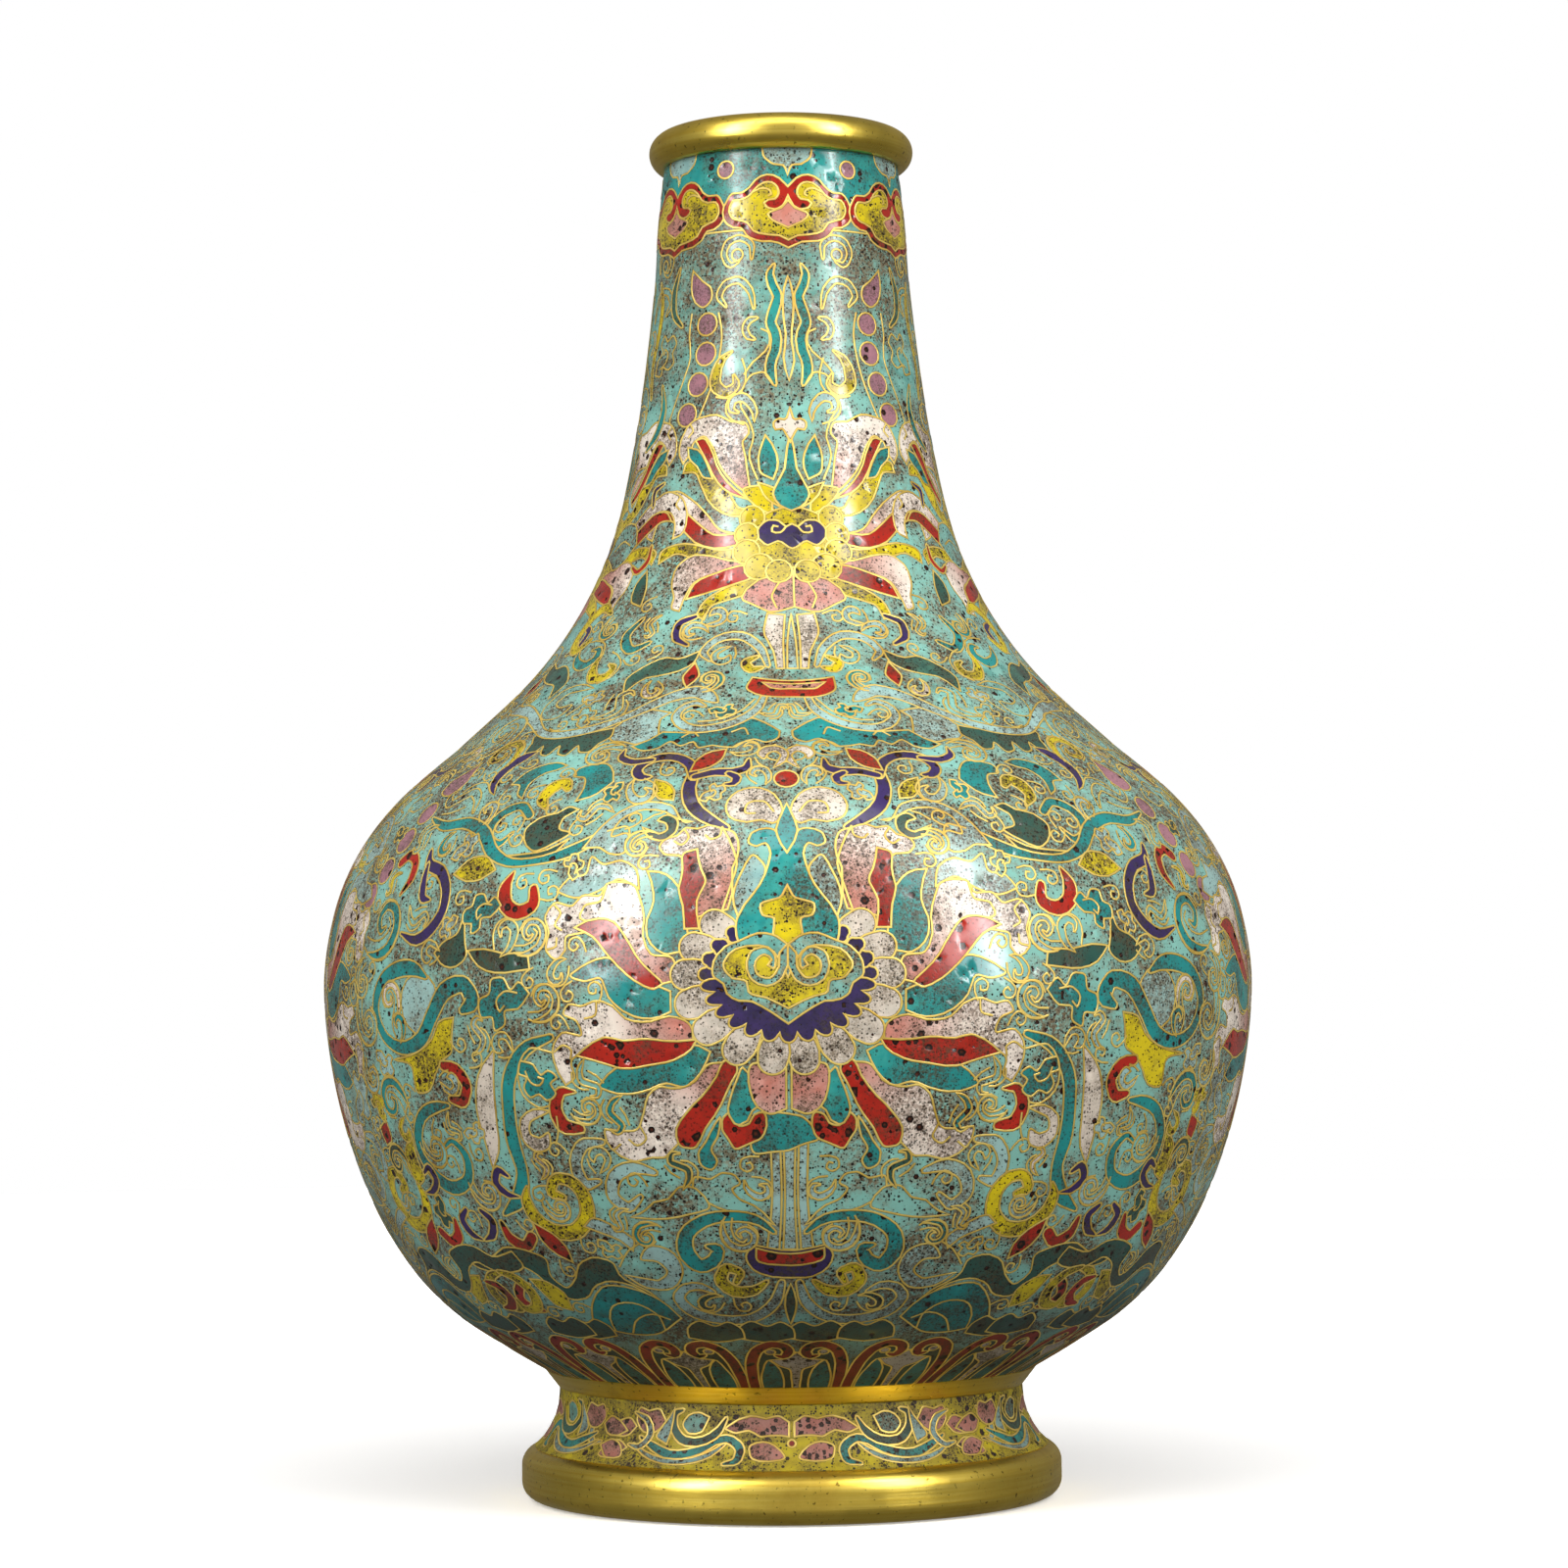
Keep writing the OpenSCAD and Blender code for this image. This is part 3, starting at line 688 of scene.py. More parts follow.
    # curls at the petals' tips
    for text in ("12.8,18.6 12,17.2 12.8,16.2 13.8,16.8", "8,18.6 8.2,17.4 9.4,17 10,17.6",
                 "21.5,11 22,9.2 24,8.6 24.4,7.2 23.4,6.8", "28.2,9 27,7.8 27.6,6.4 26.6,5.8",
                 "28.5,3.6 27.2,4 27.2,5", "22,-2.3 22.2,-3.8 23.6,-4.2",
                 "27.7,-8 26.4,-7.2 25.4,-7.8 25.6,-8.8", "17.6,-16.6 17,-18.2 18.2,-19 19.2,-18.2",
                 "21.2,-19.6 20.2,-18.8"):
        s.line(text)
    # ring of cream lobes, and the cobalt collar with its teeth
    for a in (44, 24, 4, -17, -38, -60, -81):
        x, y = 11.2 * math.cos(math.radians(a)), 8.8 * math.sin(math.radians(a))
        s.stroke("white", "%.2f,%.2f,2.4 %.2f,%.2f,3.6 %.2f,%.2f,3.4" %
                 (.7 * x, .7 * y, .95 * x, .95 * y, 1.03 * x, 1.03 * y))
    for a in (2, 17, 32, 48):
        x, y = 9.3 * math.cos(math.radians(a)), .4 + 6.6 * math.sin(math.radians(a))
        s.stroke("cobalt", "%.2f,%.2f,1.1 %.2f,%.2f,1.9 %.2f,%.2f,1.5" %
                 (.84 * x, .84 * y, .97 * x, .97 * y, x, y))
    # half an ellipse whose radius has 13 scallops: 1 + 0.22 sqrt|sin 13 a|
    a = np.radians(np.linspace(-178, -2, 265))
    tooth = 1 + 0.22 * np.abs(np.sin(np.radians(np.linspace(0, 13 * 180, 265))))**0.5
    s.put("cobalt", np.stack([8.1 * tooth * np.cos(a), .4 + 6.1 * tooth * np.sin(a)], -1), False)
    # the bud over the heart, its flame and its side leaves
    s.cell("pale_blue", "5,5.6! 6.2,9.5 5.3,12.5 4,14.7 2.6,13.2 3.4,10")
    s.cell("teal", "0,3.4! 5.4,4 5.8,6.5 4.9,8.5 3.4,10.5 2.2,13.5 2,15.3 2.6,16.3 3.6,15.9 4.6,16.4 "
                   "4.4,17.6 3,18.4 1.5,18.2 .8,16.5 0,15.2! -.8,16.5 -1.5,18.2 -3,18.4 -4.4,17.6 -4.6,16.4 "
                   "-3.6,15.9 -2.6,16.3 -2,15.3 -2.2,13.5 -3.4,10.5 -4.9,8.5 -5.8,6.5 -5.4,4", both=False)
    s.cell("teal", "0,15! .9,16.6 1.3,18.4 .9,20 0,22.4! -.9,20 -1.3,18.4 -.9,16.6", both=False)
    s.cell("yellow", "0,2! 1.7,4.4 1.5,6 1.5,6.9 2.8,7.3 3,8.6 2,9 .9,9.3 0,10.8! -.9,9.3 -2,9 -3,8.6 "
                     "-2.8,7.3 -1.5,6.9 -1.5,6 -1.7,4.4", both=False)
    # the heart: a ruyi head with two volutes
    s.cell("turquoise", "0,3.9! 1.6,5 3.4,5.2 5,4.5 7,3.7 8.3,2 8.3,.4 7.2,-.4 6.8,-1.5 5.5,-2.3 4,-2.4 "
                        "2.5,-3.2 0,-4.9! -2.5,-3.2 -4,-2.4 -5.5,-2.3 -6.8,-1.5 -7.2,-.4 -8.3,.4 -8.3,2 "
                        "-7,3.7 -5,4.5 -3.4,5.2 -1.6,5", both=False)
    s.cell("yellow", "0,.2! .8,2 2.2,3.6 4.2,3.8 6.2,3.2 7.2,1.6 6.2,.2 4.6,-.2 4.4,-1.3 2.4,-2 0,-3.2! "
                     "-2.4,-2 -4.4,-1.3 -4.6,-.2 -6.2,.2 -7.2,1.6 -6.2,3.2 -4.2,3.8 -2.2,3.6 "
                     "-.8,2", both=False)
    s.cell("turquoise", "0,4! .9,3 1,1.4 2,.2 3.4,.6 3.6,2 2.6,2.8 1.8,2.2 2.2,1.6! 1.6,1.2 1.4,2.6 2.4,3.6 "
                        "4,3.2 4.6,1.6 4,0 2.4,-.7 .9,-.1 0,1.6!")


def over_lotus(s):
    """What stands over the flower: roundels, antler scrolls, a red bead, leaves and pale volutes."""
    s.cell("pale_blue", "11.6,19.6! 12.6,19.5 15,22.3 18,23 21,22 23.5,19.5 25.5,16! 23.2,16 21.9,15.2 "
                        "20,15.2 19.3,16.8 20,18 22,17.6 21.4,20 19,21.6 16,21.4 13.5,20")
    s.line("19.3,16.8 20.2,19 22.8,18.4")
    s.cell("white", ".3,20.4! .8,22.6 1.6,24 4,25.3 6.8,24.3 7.8,22 7.2,20.3 5,19.4 3,19.7 1.8,19.2")
    s.line("1.6,21 3,22.8 5,22.4 5.2,20.9 3.9,20.8")
    s.stroke("cobalt", "7.4,18.6,.8 9.5,19.8,1.5 12,22,1.9 13.1,25,1.9 13,28,1.7")
    s.stroke("cobalt", "12.8,27.6,1.5 14,30.5,1.7 16,32,1.7 19,32.2,1.8 21,31,1.7 21.6,29.2,1.6 "
                       "20.5,27.8,1.4 19.2,27.8,.6")
    s.stroke("cobalt", "20,31.7,1 23.5,31.4,1.4 25.3,32.6,1.2 25.4,34.4,.4")
    s.stroke("cobalt", "12.7,27.6,1.2 10,28.5,1.5 7.5,28.5,1.6 5.7,29.4,1.4 5.4,31.4,.5")
    s.stroke("cobalt", "8,28.2,1 6.8,27.2,1.3 7.2,26.1,1 8.3,26,.5")
    s.cell("red", "9,34! 9.4,31.4 11,29.6 13.6,28.7! 13.2,31.2 11.6,33.2")
    s.bead("red", "0,27,1.7", both=False)
    s.cell("yellow", "14.9,23.2! 17,23.6 18,25 18.3,27.2! 16.2,26.4 15.1,25")
    s.line("1.5,35 3,34 2.6,31.6 0,30.6")
    s.cell("pale_blue", "17.4,10.6! 18,13 20,14.2 22.4,13.8 24,14.8 24.4,12.6 26.6,12 27.8,10.4! 25.4,9.6 "
                        "22.4,10.4 20,11.8")


def upper_side(s):
    """Between two flowers, over the middle: swags, clouds, leaves and commas."""
    s.cell("pale_blue", "20.5,44! 21.8,42.5 21.5,40 21,37.5 22.5,36.6 24,35.8 26.5,36.5 29,37 30.4,39.6 "
                        "29,42! 25,45")
    fringe = ("30,40.4! 35,39.4 40,39.5 46,41! 47,39 46,37.4 45.4,34.6 43.8,34 42.6,36.4 41.4,34.2 40,33.8 "
              "38.8,36.2 ")
    s.cell("green", fringe + "37.6,34 36,33.6 34.9,36 33.6,34.3 32,34.2 31,36.4 29.6,38")
    s.cell("teal", "24.5,27! 25.5,29.5 27,31 29.5,31 31.5,30 31.5,28.5 29.5,28 28.7,26 29,23.5! 26.6,24.4")
    s.cell("teal", "34,31! 36,31.8 38.5,31.5 41,30 42.2,27.2! 40.5,27 39.5,25 38.3,24.3! 38.6,27.5 37,29.5 "
                   "35,30.2")
    s.stroke("yellow", "31.2,25.9,1.2 32.2,27,2 33.8,26.3,2.4 34.5,24,1.8 33,22.2,.4")
    s.cell("green", "28,22! 29.5,22.5 31,21.5 33.5,20.8 35,19 34.3,17 32.5,15.8 30,16.8 28,18.3 29.8,19 "
                    "29.8,20.5")
    s.cell("green", "27.6,17.6! 31,15.8 34,15.4 37.4,15.2! 34,13.9 31,14.2")
    s.stroke("teal", "35.3,21.2,1.2 37.5,22.9,1.4 39.7,22.2,1.6 41.2,20.3,1.6 40.7,17.8,1.6 38.4,17,1 "
                     "36.9,18.6,.4")
    s.stroke("teal", "22,19,.5 26,16.2,1.6 32,14.4,1 36,14.4,1.2 39,15.8,1.7 42,18.8,1.9 46,20.4,1.8 "
                     "51,20.2,1.5 55,21.6,.5")
    s.cell("yellow", "37.6,13.4! 39.6,15.2 42.4,15 44.6,13! 42,12 39.6,12.2")
    s.stroke("red", "31.2,10.8,1.2 30.9,9,1.6 32.8,8,1.8 34.8,8.9,2 35.4,10.9,1.8 34.6,13,.4")
    s.stroke("cobalt", "51,16.5,.6 50.4,14.8,1.4 47,13.3,1.6 45.2,11,1.6 45,8.5,1.5 46.5,6.3,1.6 49,5,1.4 "
                       "52.5,5.8,.4")
    s.stroke("cobalt", "50.4,14.6,.6 50,12,1.2 49.2,10,1.2 47.8,9.8,.4")
    s.stroke("red", "57,15,1.6 55.5,15.9,1.6 53.5,15,1.4 53,12.8,1.4 54.5,10.6,.4")
    s.cell("lavender", "55.2,25.8 58.4,26.6 58.6,29 57,30.6 54.8,33! 54.2,30.4 53.6,28")
    s.bead("lavender", "57.6,22.6,1.9 58.9,18.2,1.9 60.4,13.9,1.8 62.6,10.6,1.7")
    s.cell("cobalt", "42.4,35.2! 45.2,34.6 47.2,32.4 47.6,29.4 46,26.2 44.2,25.2! 45.6,28 45.2,30.8 43.6,33")
    s.cell("teal", "1,38.5! 1.2,36.8 3,35.6 5.1,36.4 6.2,36 7.6,34.5 9.9,34.6 11.4,35 13.5,34.5 14.6,36 "
                   "16.4,35 18.4,36.2 19.9,34.6 22.2,34 24.6,35.2! 22.4,36.6 20.4,38.8! 12.6,38.6 8.6,40.2 "
                   "5.8,42 3,40.4")
    s.line("6,37.6 6.8,39.4 8.8,38.4")
    s.line("14,37.4 15.2,38.6 16.8,37.2")
    s.cell("pale_blue", "12.4,46.6 13.5,49.6 17,51.6 21,50.6 25,48 29,44.5 33,42.1 38,40.6 44,40.4 52,45.6 "
                        "58,48.6 65,49.4! 65,46.6! 58,45.6 52,42.8 44,38.6 38,38.5 33,39.9 29,42.2 25,44.8 "
                        "21,47.4 17,48.2 14.6,47")
    s.stroke("pale_blue", "4,48,1.2 4.8,45,1.6 6.6,42.6,1.8 9,40.8,1.8 12,39.6,1.8 15,39.4,1.8 17.6,40.6,1.8 "
                          "19.2,43,1.6 18.6,45.4,1.4 16.4,46.6,1.3 14.6,45.6,.7")
    s.line("5.5,47.5 8.5,43.4 12,41.6 15,41.4")


def side_motifs(s):
    """Beside the flower, between it and the next one."""
    s.cell("green", "30.6,1.4! 31,3 34,3.2 37.8,3.8 39.8,3.6! 38,1.8 35,1 32.5,1.2")
    s.cell("green", "41,8.6! 42,5.5 43.8,4.8 45.4,3.4! 43.8,2 41.5,1.8 40,3 40.5,5")
    s.bead("pale_blue", "48,-2.4,3.6")
    s.stroke("teal", "40.5,-3.2,1 39,-2.3,2.2 40,-.4,2 43,-.8,2.2 45.5,-3.5,2 48,-6.5,2 52,-7.6,1.6 "
                     "56,-6,1.4 57.5,-3,1.5 56,0,1.6 52.5,1.5,2 48.6,1.5,1.6 46.6,.6,.5")
    s.cell("yellow", "42,-4! 44.5,-4.5 46,-6.5 49.5,-8.2 54.4,-9! 50.6,-9.8 50.2,-12.8 47.5,-12.5 46,-10.5 "
                     "44.5,-9 42.8,-8 42.5,-6")
    s.stroke("red", "44.6,-9.6,1.2 42.4,-10.1,1.6 41,-12,1.6 42,-13.8,1.6 44,-13.6,.9")
    s.stroke("teal", "28,-6.3,.8 31.5,-7.6,1.6 34.2,-11,1.8 34.9,-15,1.8 35,-19,2 34.6,-22.5,1.7 36,-26,2.3 "
                     "39.4,-28.4,.6")
    s.line("28,-8 31,-7.6 32.8,-10 32.5,-13 30,-14.5 28.2,-13.6 28.4,-12 29.7,-12.1")
    s.cell("white", "36,-7.6! 38.6,-10.2 39.9,-14.6 39.5,-18.6 39.2,-22.2! 37.6,-20 37,-16 36.6,-11.4")
    s.stroke("teal", "44.6,-14.4,.6 47,-14.6,1.4 50.2,-15.8,1.6 52.2,-19,1.8 51,-23,2 47.4,-25,2 "
                     "44,-23.6,1.6 43.4,-20.6,1.3 45.4,-18.8,.8 47.3,-19.8,.5")
    s.cell("yellow", "53.4,-18.6! 55.6,-19.8 56.6,-22.4 55.2,-25! 53.2,-23.8 53.6,-21.4")
    s.cell("red", "59,-16.4! 61.2,-17.6 60.6,-19.8! 58.8,-19")
    s.stroke("red", "25.4,-12.6,.3 27.2,-12.6,1.2 28.2,-14.4,1.7 27.4,-16.6,1.9 25.2,-17,1.2")


def below_lotus(s):
    """Under the flower: stems, clouds, curls, the tie with its purple foot, lower volutes, the leaf band."""
    s.cell("pale_blue", "-.7,-18! -.6,-26 -.9,-33! .9,-33! .6,-26 .7,-18!", both=False)
    s.cell("pale_blue", "1.4,-33! 1,-26 1.1,-18! 2.2,-18! 2.2,-26.4 3,-33!")
    s.cell("turquoise", "1.8,-29.5! 4,-27 6.5,-25.5 7,-24.5 6,-23.8 6.5,-22.8 8,-22.4 9.5,-23.2 11.5,-23 "
                        "11.8,-24.2 10.5,-26 8.5,-27.2 5,-28")
    s.cell("turquoise", "10,-27 11.8,-24.3 13.5,-24.3 15,-25.8 17,-26.3 18.5,-27.6 20.4,-28.4! 16,-28.6 "
                        "12.5,-27.9")
    s.stroke("teal", "2,-30.5,.6 4,-28.8,1.2 7.5,-28.2,1.5 11,-28.9,1.7 13.4,-31,2 13.5,-34,2.4 12,-35.6,2.2 "
                     "10,-34.6,1.9 9.5,-32.9,1.5 10.8,-32.5,.6")
    s.stroke("pale_blue", "16.4,-22.4,.8 19,-21.8,1.6 21.6,-23,1.8 22.2,-25.6,1.6 20.4,-27,1.4 18.6,-25.6,.7")
    s.stroke("pale_blue", "22.6,-18.6,.8 25.2,-19,1.5 26.6,-21.6,1.6 25.6,-24,1.5 23.8,-23.6,.7")
    s.stroke("yellow", "29.2,-25.8,.8 30.8,-25.2,1.4 30,-23.5,1.4 28,-23.5,1.6 26.5,-25,1.8 26.3,-28,2 "
                       "28.5,-30.5,2.2 32,-30.6,2.2 34.5,-28.5,2 35,-26,1.4 34.4,-24.5,.3")
    s.cell("pale_blue", "21,-33.3! 20.5,-31.8 22.5,-30 26,-28.7 27.2,-29.8! 24.5,-30.9 22.5,-31.8")
    s.cell("red", "30.6,-35.4! 30.8,-33 32,-31.3 35,-29.4! 34.5,-32 33,-34")
    s.stroke("red", "40.4,-29.6,.8 39.7,-32,1.8 37.4,-33,1.8 35.9,-31.6,1.7")
    s.stroke("cobalt", "37,-23.2,.6 38.4,-22.4,1.1 39.3,-24,1.2 37.8,-25.6,1 36,-25.9,.3")
    s.stroke("cobalt", "46.4,-28,.8 47.9,-29.4,1.3 47,-31.6,1.3 45.2,-32.4,.4")
    # tie
    s.cell("cobalt", "-5.8,-34 -5,-36.2 -3,-37.3 0,-37.6 3,-37.4 5,-35.9 5.6,-34 4.8,-32.3! 0,-33.2 "
                     "-4.8,-32.3!",
           both=False)
    s.cell("red", "-4.4,-32.8! -2,-33.5 0,-33.7 2,-33.5 4.4,-32.8! 4.4,-34.4 2,-35.4 -1,-35.5 "
                  "-4.4,-34.6", both=False)
    # lower volutes
    s.stroke("pale_blue", "1.2,-38.4,1 2.2,-42,1.7 5.6,-45.4,1.9 10.6,-45.8,2 14.9,-43.8,2 16,-41.2,1.7 "
                          "14.6,-39.4,1.4 12.4,-39.2,1.2 10.7,-40.2,.5")
    s.stroke("yellow", "7.5,-38.5,.8 6.8,-36.8,1.2 8.5,-36,1.5 9.5,-38,1.8 7.8,-40,2 5,-39.8,1.6 "
                       "3.2,-38.2,.6")
    s.cell("green", "0,-38.6! .8,-41.4 .6,-44.6 0,-47! -.6,-44.6 -.8,-41.4", both=False)
    s.cell("green", "17.5,-44! 20,-40.5 24,-37.2 24.3,-35.5 27,-34.5 29.5,-35.5 31.5,-38.5 33.5,-39.9 "
                    "35.3,-38 35,-35 37,-34 42,-33.5 45,-35 49.4,-34! 50.4,-36 44,-37.5 41,-36.2 38,-37.5 "
                    "36,-40.5 33.5,-42.2 30.5,-41.6 28.5,-39.5 26,-38.5 23,-39")
    s.cell("teal", "16.6,-45.6! 18.6,-42.2 23,-39.6 27,-39.4 30,-42.4 32.4,-47.6! 28,-49.6 22,-49.8")
    s.line("20,-48.6 20.2,-45 23,-42.6 26.6,-43 28.6,-46 29,-49.4")
    s.line("18.4,-46 21,-44.8 24,-46.2 26,-49.6")
    s.stroke("red", "40.3,-39.6,.8 42.6,-40.3,1.7 43.8,-42.6,1.8 42.4,-44.6,1.8 40.4,-45,.8")
    s.stroke("yellow", "44.6,-37.6,.7 47.6,-38.6,1.6 49.4,-41.4,1.9 48.2,-44.4,1.9 45.6,-44.8,1.4 "
                       "45,-42.8,.6")
    s.cell("yellow", "50.4,-38.6! 53,-38.8 55.6,-41 55.4,-44.6! 52.8,-43.6 51.6,-41.2")
    for x in (4, 12, 34, 52):
        s.cell("green", "%g,-50.6! %g,-48.2 %g,-46.4 %g,-47.4 %g,-46.2 %g,-48 %g,-50.6! %g,-51.8" %
               (x - 4.6, x - 4.4, x - 2.4, x - .4, x + 2, x + 4.2, x + 4.6, x))


def lappets(s):
    """The row over the waist: each lappet a pair of red hooks with a white drop and dark cells between."""
    s.middle = 0
    for k in range(-5, 6):
        s.at = np.array([20.0 * k + 1, 0])
        s.cell("green", "-7.6,-77! -7.6,-60 -6.4,-54.6 -4.2,-52.4 0,-55.4! 4.2,-52.4 6.4,-54.6 7.6,-60 "
                        "7.6,-77!",
               both=False)
        s.cell("teal", "7,-77! 6.6,-63 5,-58.4 3.6,-60.6 2.6,-66 3.4,-77!")
        s.cell("white", "0,-55.2! 1.8,-57.6 4.8,-58.2! 3.2,-60.6 1.5,-61.8 1,-66 .8,-77! -.8,-77! -1,-66 "
                        "-1.5,-61.8 -3.2,-60.6 -4.8,-58.2! -1.8,-57.6", both=False)
        s.stroke("red", "8.9,-78,2.5 8.7,-64,2.4 7.9,-57.6,2.3 6.4,-54,2.2 4.2,-52.6,2.2 2.2,-53.3,2.1 "
                        "1.5,-55.3,2 2.5,-57,1.7 3.7,-56.4,.8")
        s.bead("white", "4.6,-55.2,.9")
    s.at = np.zeros(2)


def neck_lotus(s):
    """The smaller flower under the strings of beads. It leans a little to the viewer's right."""
    s.middle = 2.5
    s.cell("yellow", "14,110! 20,110 24,116 29,123.4 35,127.6 43,127 43.4,124! 38,123.6 35,119 31,112.6 "
                     "26,108.6 20,107")
    s.cell("pink", "19,100.6! 26,102.6 31,108 38,114 46,117.6 52.6,115 56,108.6 55,101.6 52,100.4! "
                   "51.6,105.6 49,109.6 43,110.6 37,107 30,102 24,99.8")
    s.cell("red", "17,97.6! 26,96 33,98 40,103.4 46,107 50,106.8! 46.6,110.2 41,110 34.6,105.6 28,101 "
                  "17,99.4")
    s.cell("yellow", "16,96! 26,95.6 33,97.6 40,98.4 46.6,95.6 46,92! 40,95 35,93.6 30,90.6 24,90 16,93")
    s.cell("yellow", "11,88.6! 17,84.6 23,81.6 27,78 27.6,73.6 25.6,72.4! 24.6,76.6 20,78.6 14,81")
    s.cell("pink", "12,91! 21,91.6 28,93.6 34,94 38.4,90.6 38.6,84.6 36.4,80 36,76.6 33.4,75.6! 33,80 "
                   "31.4,84.6 25,87.6 18,89.6")
    s.cell("red", "11,90! 18,89.8 25,87.6 31,84.4 32.4,79.4! 27,81 20,83.4 13,86.6")
    s.cell("pink", "16,114! 17.6,122 19,130 20,134.6 17.8,137.4 19,141.4 25,142.4 31,145.4 37,145 42,143.4 "
                   "46,138 46.4,131 44,127.6! 41.6,131 40,135.4 36,137.4 32,133.4 28,125.4 22,118.6")
    s.cell("red", "17,113! 24,118.6 29,125 32.4,132.4 36,136.6 39.4,136! 36.6,132 33,126.6 29.4,120.6 "
                  "24,115.6")
    s.cell("teal", "30.6,121! 34,127.6 38,132.4 42.6,133.6! 41.6,129.6 37.6,126 34,121.6")
    s.line("43,143 41,139.6 43,137.4")
    s.line("52,115.4 50.6,112.6 52.6,110.6")
    s.cell("yellow", "12,118! 19,116.6 14.6,110.6 8.6,107! 9,111.6 10.4,114.6")
    s.cell("yellow", "-12,99 -9,105 2.5,110 14,105 17,99 13,93 2.5,89 -8,93", both=False)
    s.cell("yellow", "-9,119! -6,113.4 0,109.6 4.6,109.4 11,113.4 14,119! 8.6,117 2.5,113! "
                     "-3.6,117", both=False)
    s.cell("teal", "2.5,108.6! 6.4,110.6 8.6,114.6 7,119 4.6,124 4,130 2.5,137! 1,130 .4,124 -2,119 "
                   "-3.6,114.6 -1.4,110.6",
           both=False)
    s.cell("teal", "8.6,120! 13,122.6 14,128 11.6,136.6! 8.4,132 7,125")
    s.cell("white", "2.5,134! 4,137 5.4,139 7.8,138.6 8.6,141.4 6.4,143 4.6,142.6 2.5,147.6! .4,142.6 "
                    "-1.4,143 -3.6,141.4 -2.8,138.6 -.4,139 1,137", both=False)
    s.cell("pink", "15.4,82! 16.4,79 12.6,76.6 8.6,74.4 2.5,76! -3.6,74.4 -7.6,76.6 -11.4,79 -10.4,82! "
                   "-5,86.6 2.5,89 10,86.6",
           both=False)
    s.line("2.5,76 2.5,88", both=False)
    s.line("7,75.6 8.4,79 6,85")
    s.bead("yellow", "15.4,106.4,4.2 16.8,100.6,4 16.6,94.6,4.2 12.4,89.4,4.4 6.6,87.8,3.8")
    s.cell("cobalt", "-8,99! -5,96.6 -2,98 2.5,95.4 7,98 10,96.6 13,99! 13.4,102 10,105.4 6.6,105 4.4,103 "
                     "2.5,104! .6,103 -1.6,105 -5,105.4 -8.4,102", both=False)
    s.line("0.6,103 -1.2,101 -3.8,101.4 -3.4,103.4 -1.8,103")
    # stems, leaves and buds beneath
    s.middle = 1.5
    s.cell("white", "3,73.4! 3.4,66 3.2,56.6! 4.8,56.6! 5.6,62 8,68 7.4,74!")
    s.cell("pale_blue", "1.5,74! .6,66 .4,56.6! 2.6,56.6! 2.4,66", both=False)
    s.stroke("pale_blue", "6.6,57.4,1 8.6,63,2 13.4,67,2.4 19,66,2.2 21.4,62,1.8 19.4,59.6,.8")
    s.stroke("yellow", "9,60.4,.8 11.4,58.6,2 10,56.4,2 7.8,57,.8")
    s.stroke("cobalt", "26,73.6,1.4 30,71.6,2.2 29.6,67,2 26,64.6,1")
    s.cell("green", "22.4,62.6! 27,60.4 30,61 34.6,58.6 37.4,55 36,50.4! 33,54.6 28.6,55.6 25,57 23,59")
    s.cell("red", "22.6,51.4! 24.2,54.4 22.6,59! 20.8,54.6")
    s.cell("red", "-5,48.6 -2,48 2,47.9 6,48 9.4,50 9.6,54! 6,53.2 1.5,52.8 -3,53.2 -6.6,54! "
                  "-7.4,50.6", both=False)
    s.cell("pink", "-4.6,52.4! -2.6,50.6 1.5,50.4 6,50.6 7.8,52.4! 1.5,51.8", both=False)


def neck_sides(s):
    """Between two of the smaller flowers: hooks, curls and a leaf."""
    s.middle = 2.5
    s.stroke("red", "58,92,1.2 54.6,90,1.8 51.4,93,2 51.6,98.6,1.2")
    s.stroke("cobalt", "52,121,1 56.4,118.6,2.2 56,113,1.4")
    s.cell("green", "50,90! 52.6,86 51.6,80 47,78! 47.6,84")
    s.stroke("yellow", "58,76.6,1 63,79,3 68,75.6,3.4 69,69,3 64.6,65.4,2.4 61,68.6,1.4")
    s.stroke("yellow", "74,206,1 70,196,3 71,182,3 74,170,2.6 71,156,1.6")
    s.stroke("green", "56.6,210,1 60,200,3.4 58,189,3 52.6,184,1.6")
    s.stroke("teal", "62,160,1 59,150,3 62,140,3.4 68,135,1.6")
    s.stroke("pale_blue", "66,128,1 73,126,3 76,118,3 71,113,2.4 68,117,1")
    s.stroke("teal", "44,74,1 47,68.6,2.6 43,64,2.4 38.6,66,1.2")
    s.cell("turquoise", "60,100! 64,107 71,108 78,104 82,97! 76,95 70,92 65,94")
    s.line("64,100 70,102 76,99")


